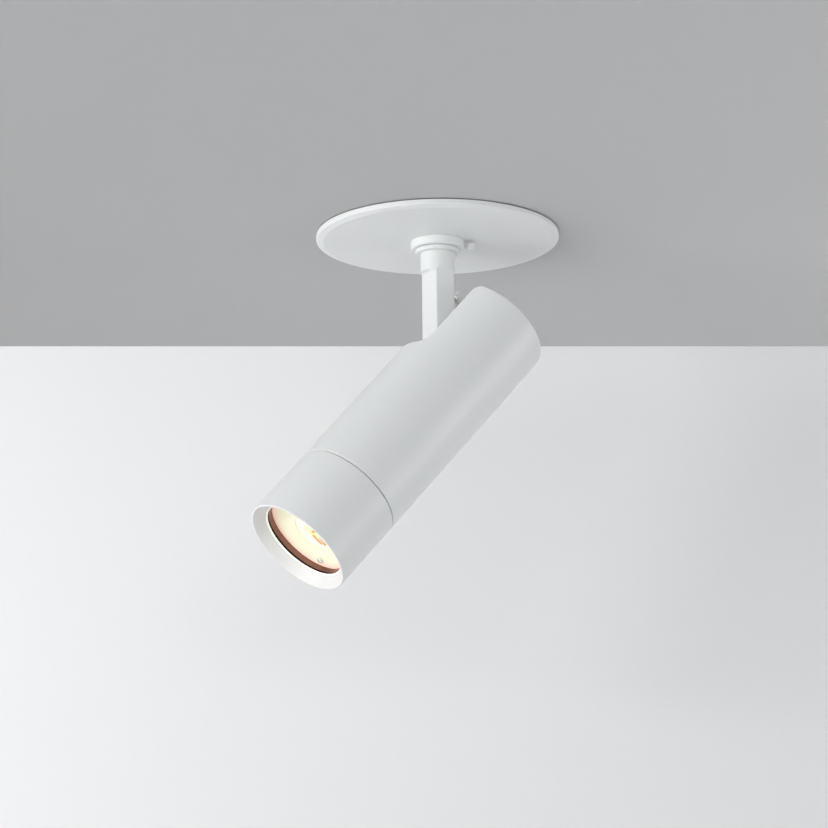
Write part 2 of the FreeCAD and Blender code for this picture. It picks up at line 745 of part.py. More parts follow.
def pivot_pin():
    tip = PIN_BOSS_END_Y + PIN_TIP_GAP
    seat = -NOTCH_NEAR_Y + EAR_WIDE
    shank = rod_y(PIN_R - THREAD_FIT, tip, seat)
    head = rod_y(PIN_HEAD_R, seat, seat + PIN_HEAD_T)
    socket = rod_y(PIN_SOCKET_R, seat + PIN_HEAD_T - PIN_SOCKET_DEPTH, seat + PIN_HEAD_T)
    return fuse([shank, head]).cut(socket)


def friction_washers():
    half = BAR_WIDE / 2
    edge = -NOTCH_NEAR_Y
    washers = []
    for side in (-1, 1):
        ends = sorted((side * (half + AXIAL_FIT), side * (edge - THREAD_FIT)))
        disc = rod_y(FRICTION_WASHER_R, ends[0], ends[1])
        washers.append(disc.cut(rod_y(PIN_R, ends[0], ends[1])))
    return washers


def stop_top_x():
    return HEAD_AXIS_X - STOP_SLEEVE_TOP


def stop_sleeve():
    sleeve = rod_x(STOP_SLEEVE_R, stop_top_x(), NOTCH_FLOOR_X, 0, STOP_Z)
    return sleeve.cut(rod_x(STOP_SHANK_R + THREAD_FIT, stop_top_x(), NOTCH_FLOOR_X, 0, STOP_Z))


def stop_disc():
    low = stop_top_x() - STOP_DISC_T
    disc = rod_x(STOP_DISC_R, low, stop_top_x(), 0, STOP_Z)
    return disc.cut(rod_x(STOP_SHANK_R + THREAD_FIT, low, stop_top_x(), 0, STOP_Z))


def stop_screw():
    seat = stop_top_x() - STOP_DISC_T
    neck_end = seat - STOP_NECK_T
    top = neck_end - STOP_HEAD_T
    head = rod_x(STOP_HEAD_R, top, neck_end, 0, STOP_Z)
    crown = [edge for edge in head.Edges if edge.BoundBox.XMax < top + THREAD_FIT]
    head = head.makeFillet(STOP_HEAD_ROUND, crown)
    neck = rod_x(STOP_NECK_R, neck_end, seat, 0, STOP_Z)
    end = NOTCH_FLOOR_X + NOTCH_WALL + STOP_BOSS_LENGTH - STOP_SHANK_END_GAP
    shank = rod_x(STOP_SHANK_R - THREAD_FIT, seat, end, 0, STOP_Z)
    recess = rod_x(STOP_RECESS_R, top, top + STOP_RECESS_DEPTH, 0, STOP_Z)
    return fuse([head, neck, shank]).cut(recess)


def wire_grommet():
    low = NOTCH_FLOOR_X
    high = NOTCH_FLOOR_X + NOTCH_WALL
    neck = rod_x(WIRE_HOLE_R, low - WIRE_LIP_T, high + WIRE_LIP_T, 0, WIRE_Z)
    upper = rod_x(WIRE_LIP_R, low - WIRE_LIP_T, low, 0, WIRE_Z)
    lower = rod_x(WIRE_LIP_R, high, high + WIRE_LIP_T, 0, WIRE_Z)
    bore = rod_x(WIRE_BORE_R, low - WIRE_LIP_T, high + WIRE_LIP_T, 0, WIRE_Z)
    return fuse([neck, upper, lower]).cut(bore)


def heat_sink():
    rear_end = SINK_REAR_Z - SINK_REAR_T
    disc_z = SINK_FRONT_Z + SINK_FRONT_T
    rear = rod(SINK_R, rear_end, SINK_REAR_Z, HEAD_AXIS_X)
    core = rod(SINK_CORE_R, disc_z, rear_end, HEAD_AXIS_X)
    front = rod(SINK_R, SINK_FRONT_Z, disc_z, HEAD_AXIS_X)
    skirt = tube(SINK_R, SKIRT_INNER_R, SKIRT_END_Z, SINK_FRONT_Z, HEAD_AXIS_X)
    half = FIN_T / 2
    fin = block(HEAD_AXIS_X + SINK_CORE_R / 2, HEAD_AXIS_X + SINK_R, -half, half, disc_z, rear_end)
    fin = fin.common(rod(SINK_R, disc_z, rear_end, HEAD_AXIS_X))
    fins = around(fin, even_angles(FIN_COUNT, FULL_TURN / FIN_COUNT / 2), HEAD_AXIS_X)
    sink = fuse([rear, core, front, skirt] + fins)
    sink = sink.cut(rod(SINK_BORE_R, SINK_FRONT_Z, SINK_REAR_Z, HEAD_AXIS_X))
    tie = rod(TIE_R, SINK_REAR_Z - TIE_HOLE_DEPTH, SINK_REAR_Z, HEAD_AXIS_X + TIE_CIRCLE_R)
    screw_end = SINK_FRONT_Z + DISH_SCREW_HOLE_DEPTH
    screw = rod(DISH_SCREW_R, SINK_FRONT_Z, screw_end, HEAD_AXIS_X + DISH_SCREW_CIRCLE_R)
    holes = around(tie, TIE_ANGLES, HEAD_AXIS_X)
    holes += around(screw, dish_screw_angles(), HEAD_AXIS_X)
    for hole in holes:
        sink = sink.cut(hole)
    groove_r = SINK_R - O_RING_SECTION_R - O_RING_SECTION_R
    groove = tube(SINK_R, groove_r, O_RING_Z - O_RING_SECTION_R, O_RING_Z + O_RING_SECTION_R, HEAD_AXIS_X)
    return sink.cut(groove)


def barrel_o_ring():
    middle = vec(HEAD_AXIS_X, 0, O_RING_Z)
    return Part.makeTorus(SINK_R - O_RING_SECTION_R, O_RING_SECTION_R, middle)


def sink_spacers():
    high = NOTCH_FRONT_Z - NOTCH_WALL
    inner = TIE_R + BOLT_FIT
    spacer = tube(inner + SPACER_WALL, inner, SINK_REAR_Z, high, HEAD_AXIS_X + TIE_CIRCLE_R)
    return around(spacer, TIE_ANGLES, HEAD_AXIS_X)


def tie_screws():
    x = HEAD_AXIS_X + TIE_CIRCLE_R
    head = rod(TIE_HEAD_R, NOTCH_FRONT_Z, NOTCH_FRONT_Z + TIE_HEAD_T, x)
    shank = rod(TIE_R - THREAD_FIT, SINK_REAR_Z - TIE_BITE, NOTCH_FRONT_Z, x)
    top = NOTCH_FRONT_Z + TIE_HEAD_T
    socket = rod(TIE_SOCKET_R, top - TIE_SOCKET_DEPTH, top, x)
    return around(fuse([head, shank]).cut(socket), TIE_ANGLES, HEAD_AXIS_X)


def dish_screw_angles():
    return even_angles(DISH_SCREW_COUNT, DISH_SCREW_START_DEG)


def dish_screw_holes(low, high):
    hole = rod(DISH_SCREW_R + THREAD_FIT, low, high, HEAD_AXIS_X + DISH_SCREW_CIRCLE_R)
    return around(hole, dish_screw_angles(), HEAD_AXIS_X)


def led_board():
    low = SINK_FRONT_Z - BOARD_T
    board = rod(BOARD_R, low, SINK_FRONT_Z, HEAD_AXIS_X)
    for hole in dish_screw_holes(low, SINK_FRONT_Z):
        board = board.cut(hole)
    return board


def led_chip():
    high = SINK_FRONT_Z - BOARD_T
    return rod(CHIP_R, high - CHIP_T, high, HEAD_AXIS_X)


def contact_strips():
    board_z = SINK_FRONT_Z - BOARD_T
    high = board_z - CHIP_T - CONTACT_CLEAR
    low = high - CONTACT_T
    half = CONTACT_WIDTH / 2
    arm = block(HEAD_AXIS_X + CONTACT_INNER_R, HEAD_AXIS_X + CONTACT_OUTER_R, -half, half, low, high)
    foot_x = HEAD_AXIS_X + CONTACT_OUTER_R
    foot = block(foot_x - CONTACT_FOOT, foot_x, -half, half, low, board_z)
    return around(fuse([arm, foot]), CONTACT_ANGLES, HEAD_AXIS_X)


def reflector_dish():
    high = SINK_FRONT_Z - BOARD_T
    dish = rod(DISH_R, DISH_EDGE_Z, high, HEAD_AXIS_X)
    dish = dish.cut(taper(DISH_MOUTH_R, DISH_HOLE_R, DISH_EDGE_Z, high - DISH_INNER_T, HEAD_AXIS_X))
    dish = dish.cut(rod(DISH_HOLE_R, DISH_EDGE_Z, high, HEAD_AXIS_X))
    for hole in dish_screw_holes(DISH_EDGE_Z, high):
        dish = dish.cut(hole)
    return dish


def dish_seat_z():
    rise = (DISH_SCREW_CIRCLE_R + DISH_SCREW_HEAD_R - DISH_HOLE_R) / (DISH_MOUTH_R - DISH_HOLE_R)
    inner = SINK_FRONT_Z - BOARD_T - DISH_INNER_T
    return inner + rise * (DISH_EDGE_Z - inner)


def dish_screws():
    seat = dish_seat_z()
    x = HEAD_AXIS_X + DISH_SCREW_CIRCLE_R
    head = rod(DISH_SCREW_HEAD_R, seat - DISH_SCREW_HEAD_T, seat, x)
    end = SINK_FRONT_Z - BOARD_T + DISH_SCREW_LENGTH
    shank = rod(DISH_SCREW_R - THREAD_FIT, seat, end, x)
    half = DISH_SLOT_WIDTH / 2
    low = seat - DISH_SCREW_HEAD_T
    reach = DISH_SCREW_HEAD_R
    slot = block(x - reach, x + reach, -half, half, low, low + DISH_SLOT_DEPTH)
    return around(fuse([head, shank]).cut(slot), dish_screw_angles(), HEAD_AXIS_X)


def copper_ring():
    return tube(BAND_OUTER_R, BAND_INNER_R, BAND_LOW_Z, DISH_EDGE_Z - SEAT_GAP, HEAD_AXIS_X)


def front_barrel():
    high = SEAM_Z - SEAM_GAP / 2
    inner_r = SINK_R + BARREL_FIT
    body = rod(HEAD_R, BARREL_END_Z, high, HEAD_AXIS_X)
    body = body.makeChamfer(SEAM_CHAMFER, edges_on_circle(body, HEAD_R, high))
    body = rounded(body, HEAD_R, BARREL_END_Z, BARREL_RIM_ROUND)
    body = body.cut(rod(inner_r, BARREL_THROAT_Z, high, HEAD_AXIS_X))
    return body.cut(taper(BARREL_LIP_R, BARREL_THROAT_R, BARREL_END_Z, BARREL_THROAT_Z, HEAD_AXIS_X))


FIXED_PARTS = (
    ("ceiling_plate", ceiling_plate), ("plate_studs", plate_studs), ("stud_nuts", stud_nuts),
    ("gasket_ring", gasket_ring), ("mounting_can", mounting_can), ("can_lid", can_lid),
    ("cable_grommet", cable_grommet), ("terminal_block", terminal_block),
    ("terminal_screws", terminal_screws), ("retaining_blades", retaining_blades),
    ("blade_rivets", blade_rivets), ("pan_stop_pin", pan_stop_pin), ("collar", collar),
    ("swivel_bush", swivel_bush), ("lock_lever", lock_lever),
)

STEM_PARTS = (
    ("stem", stem), ("swivel_ring", swivel_ring), ("pan_stop_washer", pan_stop_washer),
    ("wave_washer", wave_washer), ("stem_nut", stem_nut),
)

HEAD_PARTS = (
    ("head_housing", head_housing), ("rear_cap", rear_cap), ("cap_screws", cap_screws),
    ("pivot_pin", pivot_pin), ("friction_washers", friction_washers), ("stop_sleeve", stop_sleeve),
    ("stop_disc", stop_disc), ("stop_screw", stop_screw), ("wire_grommet", wire_grommet),
    ("heat_sink", heat_sink), ("sink_spacers", sink_spacers), ("tie_screws", tie_screws),
    ("led_board", led_board), ("led_chip", led_chip), ("contact_strips", contact_strips),
    ("reflector_dish", reflector_dish), ("dish_screws", dish_screws), ("copper_ring", copper_ring),
    ("barrel_o_ring", barrel_o_ring), ("front_barrel", front_barrel),
)


def as_list(made):
    return made if isinstance(made, list) else [made]


def main():
    os.makedirs("parts", exist_ok=True)
    for name, maker in FIXED_PARTS + STEM_PARTS:
        save_all(name, as_list(maker()))
    for name, maker in HEAD_PARTS:
        save_all(name, [hung(shape) for shape in as_list(maker())])


main()
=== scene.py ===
import json
import math

import bpy
from mathutils import Matrix, Vector

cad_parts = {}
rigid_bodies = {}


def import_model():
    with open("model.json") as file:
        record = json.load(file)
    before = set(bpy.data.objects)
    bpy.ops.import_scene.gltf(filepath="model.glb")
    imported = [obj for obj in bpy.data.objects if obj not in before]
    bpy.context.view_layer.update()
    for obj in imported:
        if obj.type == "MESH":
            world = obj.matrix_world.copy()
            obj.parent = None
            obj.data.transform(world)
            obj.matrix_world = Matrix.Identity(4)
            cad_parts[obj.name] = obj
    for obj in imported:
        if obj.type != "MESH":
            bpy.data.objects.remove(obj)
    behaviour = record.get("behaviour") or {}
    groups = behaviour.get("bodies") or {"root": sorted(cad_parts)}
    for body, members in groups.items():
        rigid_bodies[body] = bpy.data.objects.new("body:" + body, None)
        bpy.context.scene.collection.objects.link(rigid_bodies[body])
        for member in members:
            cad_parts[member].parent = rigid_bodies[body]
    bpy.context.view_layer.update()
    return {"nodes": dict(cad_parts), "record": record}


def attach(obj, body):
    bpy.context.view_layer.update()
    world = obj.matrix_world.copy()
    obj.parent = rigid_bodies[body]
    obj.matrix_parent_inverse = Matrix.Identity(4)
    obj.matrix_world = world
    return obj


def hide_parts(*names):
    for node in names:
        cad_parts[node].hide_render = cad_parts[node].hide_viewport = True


# Adjustable ceiling spotlight: finishes, fine pieces, lights and the photograph's camera.
# Metres, in the frame of the solids: the ceiling is the plane z = 0, the head points to -X.

for thing in list(bpy.data.objects):
    bpy.data.objects.remove(thing)
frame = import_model()
nodes = frame["nodes"]


# Where the head's own axes lie: it leans from hanging straight down, about the tilt pin
LEAN = math.radians(42.0)
PIN_Z = -0.056
HEAD_AXIS_X = 0.011

# Camera, from the outlines of plate, head and rings in the photograph
CAMERA_PLACE = (-0.63866, -1.23537, -0.42611)
CAMERA_LOOK = (0.438763, 0.8662, 0.239132)
CAMERA_UP = (-0.098215, -0.218295, 0.970928)
CAMERA_LENS = 139.13
SENSOR_WIDTH = 36.0
CLIP_NEAR, CLIP_FAR = 0.02, 50.0

MM = 0.001

# Room: one-sided ceiling, wall and floor
WALL_NORMAL = (0.4136, 0.9105)
WALL_GAP = 0.1946
ROOM_TURN = math.atan2(WALL_NORMAL[0], WALL_NORMAL[1])
ROOM_REACH = 3.0
FLOOR_Z = -1.6
CEILING_Z = 0.0001
CEILING_HOLE_R = 0.053
HOLE_STEPS = 64
# Painted light: the ceiling is painted lighter to the right and the wall lighter to the left, as the light
# falls on them
PAINTED_LIGHT_REACH = 0.2
CEILING_PAINTED_LIGHT_TONES = ((0.475, 0.477, 0.479), (0.62, 0.622, 0.624))
WALL_PAINTED_LIGHT_TONES = ((0.93, 0.93, 0.935), (0.89, 0.89, 0.895))
FLOOR_TONES = ((0.86, 0.86, 0.86), (0.86, 0.86, 0.86))
BACKDROP_TONE = (0.86, 0.865, 0.87, 1)
BACKDROP_SHARE = 0.5

# Light: a low even sky, and soft panels aimed at the middle of the head
SKY_TONE = (0.93, 0.96, 1.0, 1)
SKY_STRENGTH = 0.33
LIGHT_AIM = (0.0, 0.0, -0.09)
PANELS = (
    # name, place, width and height in metres, watts
    ("window_left", (-1.3, -0.2, -0.06), (1.0, 0.1), 5.3),
    ("panel_left", (-0.75, -0.1, -0.2), (0.5, 0.35), 1.5),
    ("strip_front", (-0.85, -1.3, -0.1), (1.2, 0.15), 3.1),
    ("window_right", (1.2, -0.6, -0.25), (1.0, 0.5), 5.7),
    ("floor_bounce", (-0.6, -0.1, -1.3), (1.0, 1.0), 3.4),
)


def socket_names(node, values):
    for name, value in values.items():
        node.inputs[name].default_value = value


def make(tree, kind, settings=None, values=None):
    node = tree.nodes.new(kind)
    for name, value in (settings or {}).items():
        setattr(node, name, value)
    socket_names(node, values or {})
    return node


def join(tree, source, target):
    tree.links.new(source, target)


def new_group(name, inputs, outputs):
    group = bpy.data.node_groups.new(name, "ShaderNodeTree")
    for label, kind, value in inputs:
        entry = group.interface.new_socket(label, in_out="INPUT", socket_type=kind)
        entry.default_value = value
    for label, kind in outputs:
        group.interface.new_socket(label, in_out="OUTPUT", socket_type=kind)
    return group, group.nodes.new("NodeGroupInput"), group.nodes.new("NodeGroupOutput")


def surface_grain_group():
    """Fine skin of a sprayed, moulded or plated surface, with a slow drift of tone over it."""
    group, given, out = new_group(
        "surface_grain",
        [("Grain Scale", "NodeSocketFloat", 900.0), ("Drift Scale", "NodeSocketFloat", 25.0),
         ("Tone", "NodeSocketColor", (0.8, 0.8, 0.8, 1)), ("Shade", "NodeSocketColor", (0.7, 0.7, 0.7, 1)),
         ("Roughness Low", "NodeSocketFloat", 0.4), ("Roughness High", "NodeSocketFloat", 0.5)],
        [("Color", "NodeSocketColor"), ("Roughness", "NodeSocketFloat"), ("Height", "NodeSocketFloat")])
    place = make(group, "ShaderNodeTexCoord")
    grain = make(group, "ShaderNodeTexNoise", values={"Detail": 3.0, "Roughness": 0.55})
    drift = make(group, "ShaderNodeTexNoise", values={"Detail": 4.0, "Roughness": 0.6})
    tone = make(group, "ShaderNodeMix", {"data_type": "RGBA"})
    rough = make(group, "ShaderNodeMapRange", values={"From Min": 0.3, "From Max": 0.7})
    join(group, place.outputs["Object"], grain.inputs["Vector"])
    join(group, place.outputs["Object"], drift.inputs["Vector"])
    join(group, given.outputs["Grain Scale"], grain.inputs["Scale"])
    join(group, given.outputs["Drift Scale"], drift.inputs["Scale"])
    join(group, drift.outputs["Fac"], tone.inputs["Factor"])
    join(group, given.outputs["Tone"], tone.inputs["A"])
    join(group, given.outputs["Shade"], tone.inputs["B"])
    join(group, drift.outputs["Fac"], rough.inputs["Value"])
    join(group, given.outputs["Roughness Low"], rough.inputs["To Min"])
    join(group, given.outputs["Roughness High"], rough.inputs["To Max"])
    join(group, tone.outputs["Result"], out.inputs["Color"])
    join(group, rough.outputs["Result"], out.inputs["Roughness"])
    join(group, grain.outputs["Fac"], out.inputs["Height"])
    return group


def head_measure_group():
    """How far a point lies from the head's axis, and how far up the upright head, in metres."""
    measures = [("Radius", "NodeSocketFloat"), ("Height", "NodeSocketFloat")]
    group, _, out = new_group("head_measure", [], measures)
    place = make(group, "ShaderNodeTexCoord")
    upright = make(group, "ShaderNodeMapping", {"vector_type": "TEXTURE"},
                   {"Location": (0, 0, PIN_Z), "Rotation": (0, LEAN, 0)})
    centred = make(group, "ShaderNodeVectorMath", {"operation": "SUBTRACT"})
    centred.inputs[1].default_value = (HEAD_AXIS_X, 0, 0)
    flat = make(group, "ShaderNodeVectorMath", {"operation": "MULTIPLY"})
    flat.inputs[1].default_value = (1, 1, 0)
    radius = make(group, "ShaderNodeVectorMath", {"operation": "LENGTH"})
    parts = make(group, "ShaderNodeSeparateXYZ")
    join(group, place.outputs["Object"], upright.inputs["Vector"])
    join(group, upright.outputs["Vector"], centred.inputs[0])
    join(group, centred.outputs["Vector"], flat.inputs[0])
    join(group, flat.outputs["Vector"], radius.inputs[0])
    join(group, centred.outputs["Vector"], parts.inputs["Vector"])
    join(group, radius.outputs["Value"], out.inputs["Radius"])
    join(group, parts.outputs["Z"], out.inputs["Height"])
    return group


GRAIN = surface_grain_group()
HEAD_MEASURE = head_measure_group()


def material_tree(name):
    material = bpy.data.materials.new(name)
    material.use_nodes = True
    tree = material.node_tree
    return material, tree, tree.nodes["Principled BSDF"]


def grained(name, tone, shade, rough, scales, relief, fixed=None):
    """A finish: two tones that drift, a roughness range, grain and drift scales, and a bump in metres."""
    material, tree, skin = material_tree(name)
    socket_names(skin, fixed or {})
    grain = tree.nodes.new("ShaderNodeGroup")
    grain.node_tree = GRAIN
    socket_names(grain, {"Tone": (*tone, 1), "Shade": (*shade, 1), "Roughness Low": rough[0],
                         "Roughness High": rough[1], "Grain Scale": scales[0], "Drift Scale": scales[1]})
    skin_relief = make(tree, "ShaderNodeBump", values={"Strength": relief[0], "Distance": relief[1]})
    join(tree, grain.outputs["Height"], skin_relief.inputs["Height"])
    join(tree, skin_relief.outputs["Normal"], skin.inputs["Normal"])
    join(tree, grain.outputs["Color"], skin.inputs["Base Color"])
    join(tree, grain.outputs["Roughness"], skin.inputs["Roughness"])
    return material


def painted_light_band(material, measure, none_at, full_at, tint, glow=None):
    """Paints light and shade into a finish: blends a tint, and a tint of the glow, between two measures in
    mm on the head.
    """
    tree = material.node_tree
    skin = tree.nodes["Principled BSDF"]
    place = tree.nodes.new("ShaderNodeGroup")
    place.node_tree = HEAD_MEASURE
    share = make(tree, "ShaderNodeMapRange", {"interpolation_type": "SMOOTHSTEP"},
                 {"From Min": none_at * MM, "From Max": full_at * MM})
    join(tree, place.outputs[measure], share.inputs["Value"])
    for label, colour in (("Base Color", tint), ("Emission Color", glow)):
        if colour is None:
            continue
        blend = make(tree, "ShaderNodeMix", {"data_type": "RGBA"}, {"B": (*colour, 1)})
        feed = skin.inputs[label]
        if feed.is_linked:
            join(tree, feed.links[0].from_socket, blend.inputs["A"])
        else:
            socket_names(blend, {"A": feed.default_value})
        join(tree, share.outputs["Result"], blend.inputs["Factor"])
        join(tree, blend.outputs["Result"], feed)


def dress(material, *names):
    for name in names:
        slots = nodes[name].data.materials
        for index in range(len(slots)):
            slots[index] = material
        if not len(slots):
            slots.append(material)


WHITE_COAT = {
    "tone": (0.83, 0.845, 0.84), "shade": (0.80, 0.815, 0.81), "rough": (0.38, 0.46),
    "scales": (1400.0, 30.0), "relief": (0.12, 0.00006)}
powder_coat = grained("white_powder_coat", **WHITE_COAT)
dress(powder_coat, "ceiling_plate", "collar", "lock_lever", "stem", "swivel_ring", "head_housing",
      "rear_cap")
# Painted shade and light: inside the flare the coat is painted a little darker, and at the throat a lighter
# tint and a glow are painted where the lit dish shines on it
barrel_coat_painted_light = grained(
    "white_powder_coat_painted_shade_and_glow", **WHITE_COAT,
    fixed={"Emission Color": (0, 0, 0, 1), "Emission Strength": 1.0})
painted_light_band(barrel_coat_painted_light, "Radius", none_at=24.6, full_at=24.2, tint=(0.775, 0.775, 0.77))
painted_light_band(barrel_coat_painted_light, "Radius", none_at=20.6, full_at=20.35, tint=(0.88, 0.88, 0.84), glow=(0.36, 0.34, 0.28))
barrel_coat_painted_light.cycles.emission_sampling = "NONE"
dress(barrel_coat_painted_light, "front_barrel")
zinc = grained(
    "zinc_plated_steel", tone=(0.62, 0.63, 0.64), shade=(0.50, 0.51, 0.50), rough=(0.28, 0.42),
    scales=(2500.0, 60.0), relief=(0.06, 0.00004), fixed={"Metallic": 1.0})
dress(zinc, "plate_studs", "stud_nuts", "mounting_can", "can_lid", "blade_rivets", "pan_stop_pin",
      "pan_stop_washer", "stem_nut", "cap_screws", "tie_screws")
spring = grained(
    "spring_steel", tone=(0.30, 0.30, 0.32), shade=(0.22, 0.22, 0.24), rough=(0.25, 0.38),
    scales=(1800.0, 80.0), relief=(0.06, 0.00004), fixed={"Metallic": 1.0})
dress(spring, "retaining_blades", "wave_washer")
sleeve_steel = grained(
    "matt_nickel_steel", tone=(0.86, 0.865, 0.855), shade=(0.80, 0.805, 0.795), rough=(0.45, 0.55),
    scales=(1800.0, 80.0), relief=(0.06, 0.00004), fixed={"Metallic": 0.1})
dress(sleeve_steel, "stop_sleeve")
bright = grained(
    "polished_steel", tone=(0.88, 0.88, 0.89), shade=(0.82, 0.82, 0.83), rough=(0.2, 0.28),
    scales=(3000.0, 200.0), relief=(0.02, 0.00002), fixed={"Metallic": 1.0})
dress(bright, "pivot_pin", "stop_disc", "stop_screw")
bare_aluminium = grained(
    "bare_aluminium", tone=(0.66, 0.67, 0.68), shade=(0.58, 0.59, 0.60), rough=(0.3, 0.42),
    scales=(1600.0, 60.0), relief=(0.08, 0.00004), fixed={"Metallic": 1.0})
dress(bare_aluminium, "heat_sink", "sink_spacers")
rubber = grained(
    "black_rubber", tone=(0.030, 0.030, 0.031), shade=(0.022, 0.022, 0.023), rough=(0.62, 0.78),
    scales=(2200.0, 90.0), relief=(0.2, 0.00006))
dress(rubber, "cable_grommet", "wire_grommet", "barrel_o_ring")
foam = grained(
    "grey_foam", tone=(0.13, 0.13, 0.135), shade=(0.09, 0.09, 0.095), rough=(0.85, 0.95),
    scales=(2600.0, 120.0), relief=(0.6, 0.0002))
dress(foam, "gasket_ring")
acetal = grained(
    "bearing_acetal", tone=(0.72, 0.70, 0.64), shade=(0.66, 0.64, 0.58), rough=(0.4, 0.5),
    scales=(1500.0, 60.0), relief=(0.05, 0.00004))
dress(acetal, "swivel_bush", "friction_washers")
terminal = grained(
    "terminal_polyamide", tone=(0.76, 0.74, 0.67), shade=(0.70, 0.68, 0.61), rough=(0.4, 0.52),
    scales=(1300.0, 50.0), relief=(0.08, 0.00005))
dress(terminal, "terminal_block")
brass = grained(
    "contact_brass", tone=(0.78, 0.42, 0.14), shade=(0.66, 0.34, 0.11), rough=(0.2, 0.34),
    scales=(2400.0, 120.0), relief=(0.04, 0.00003), fixed={"Metallic": 1.0})
dress(brass, "terminal_screws")
strip_brass = grained(
    "amber_spring_brass", tone=(0.96, 0.60, 0.26), shade=(0.94, 0.52, 0.20), rough=(0.42, 0.5),
    scales=(2400.0, 120.0), relief=(0.04, 0.00003), fixed={"Metallic": 0.4})
dress(strip_brass, "contact_strips")
# Painted light: the board glows a little, as if lit by the chip beside it
board = grained(
    "board_solder_mask_painted_glow", tone=(0.92, 0.90, 0.80), shade=(0.90, 0.88, 0.78), rough=(0.3, 0.4),
    scales=(1800.0, 120.0), relief=(0.05, 0.00003),
    fixed={"Emission Color": (1.0, 0.97, 0.66, 1), "Emission Strength": 0.15})
board.cycles.emission_sampling = "NONE"
dress(board, "led_board")
# Painted shade: the band darkens at both edges, where it turns into the gaps beside it
copper = grained(
    "copper_finish", tone=(0.345, 0.165, 0.142), shade=(0.165, 0.088, 0.074), rough=(0.26, 0.36),
    scales=(2600.0, 130.0), relief=(0.05, 0.00003), fixed={"Metallic": 1.0})
painted_light_band(copper, "Height", none_at=-111.0, full_at=-111.5, tint=(0.02, 0.013, 0.009))
painted_light_band(copper, "Height", none_at=-109.0, full_at=-108.8, tint=(0.09, 0.05, 0.036))
dress(copper, "copper_ring")
# Painted light: the dish glows, and a painted reflection of the copper's tone tints it towards its rim
dish = grained(
    "light_dish", tone=(0.71, 0.70, 0.60), shade=(0.69, 0.68, 0.58), rough=(0.3, 0.4),
    scales=(1500.0, 60.0), relief=(0.03, 0.00003),
    fixed={"Emission Color": (1.0, 0.94, 0.53, 1), "Emission Strength": 0.32})
painted_light_band(dish, "Radius", none_at=16.0, full_at=20.0, tint=(0.92, 0.68, 0.60), glow=(1.0, 0.74, 0.50))
dress(dish, "reflector_dish")
phosphor = grained(
    "chip_phosphor", tone=(0.92, 0.80, 0.42), shade=(0.90, 0.76, 0.36), rough=(0.4, 0.5),
    scales=(4000.0, 300.0), relief=(0.05, 0.00003),
    fixed={"Emission Color": (1.0, 0.97, 0.66, 1), "Emission Strength": 0.4})
dress(phosphor, "led_chip")
# Painted light: the silicone dam glows, as if lit by the chip it rings
dam_silicone_painted_glow = grained(
    "dam_silicone_painted_glow", tone=(0.86, 0.84, 0.70), shade=(0.84, 0.82, 0.68), rough=(0.3, 0.4),
    scales=(2000.0, 100.0), relief=(0.04, 0.00003),
    fixed={"Emission Color": (1.0, 0.98, 0.66, 1), "Emission Strength": 0.28})
nickel = grained(
    "nickel_plated_steel", tone=(0.88, 0.87, 0.82), shade=(0.82, 0.81, 0.76), rough=(0.5, 0.6),
    scales=(2400.0, 200.0), relief=(0.04, 0.00003), fixed={"Metallic": 0.25})
dress(nickel, "dish_screws")


# Places and tools of the fine pieces. Their sizes are in mm, and MM turns them into metres
UPRIGHT = Matrix.Identity(4)
HANG = Matrix.Translation((0, 0, PIN_Z)) @ Matrix.Rotation(LEAN, 4, "Y")
TOP_TO_REAR = Matrix.Rotation(math.radians(-90), 4, "Y")
TOP_TO_OUTSIDE = Matrix.Rotation(math.radians(90), 4, "Y")
TOP_TO_SIDE = Matrix.Rotation(math.radians(-90), 4, "X")
TOP_TO_FRONT = Matrix.Rotation(math.radians(180), 4, "Y")
SMOOTH_BELOW = math.radians(35.0)
BODIES = frame["record"]["behaviour"]["bodies"]
BODY_OF = {node: body for body, members in BODIES.items() for node in members}


def at(x, y, z):
    return Matrix.Translation((x * MM, y * MM, z * MM))


def swung(degrees, x=0.0):
    """A turn about the vertical axis through x."""
    return at(x, 0, 0) @ Matrix.Rotation(math.radians(degrees), 4, "Z") @ at(-x, 0, 0)


def on_circle(radius, degrees):
    angle = math.radians(degrees)
    return radius * math.cos(angle), radius * math.sin(angle)


def only(piece):
    bpy.ops.object.select_all(action="DESELECT")
    piece.select_set(True)
    bpy.context.view_layer.objects.active = piece


def settle(piece, place):
    """Moves a piece to its place and puts that place into its mesh."""
    only(piece)
    piece.matrix_world = place
    bpy.ops.object.transform_apply(location=True, rotation=True, scale=True)


def finish_with(piece, kind, **settings):
    """Adds a modifier with these settings and applies it."""
    only(piece)
    step = piece.modifiers.new(kind.lower(), kind)
    for name, value in settings.items():
        setattr(step, name, value)
    bpy.ops.object.modifier_apply(modifier=step.name)
    return piece


def smooth(piece):
    only(piece)
    bpy.ops.object.shade_smooth_by_angle(angle=SMOOTH_BELOW)
    return piece


def eased(piece, width, degrees=40.0):
    """Rounds every edge sharper than this angle, as tumbling or moulding leaves it."""
    finish_with(piece, "BEVEL", width=width * MM, segments=2, limit_method="ANGLE",
                angle_limit=math.radians(degrees), use_clamp_overlap=False)
    return smooth(piece)


def fit(piece, node, places=(UPRIGHT,), material=None):
    """Sets one copy at each place. It rides on the node's body and replaces the plain solid."""
    piece.data.materials.clear()
    piece.data.materials.append(material or nodes[node].data.materials[0])
    name = piece.name
    for number, place in enumerate(places, 1):
        twin = piece
        if number < len(places):
            twin = piece.copy()
            twin.data = piece.data.copy()
            bpy.context.scene.collection.objects.link(twin)
        if len(places) > 1:
            twin.name = "%s_%d" % (name, number)
        settle(twin, place)
        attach(twin, BODY_OF[node])
        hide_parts(node)


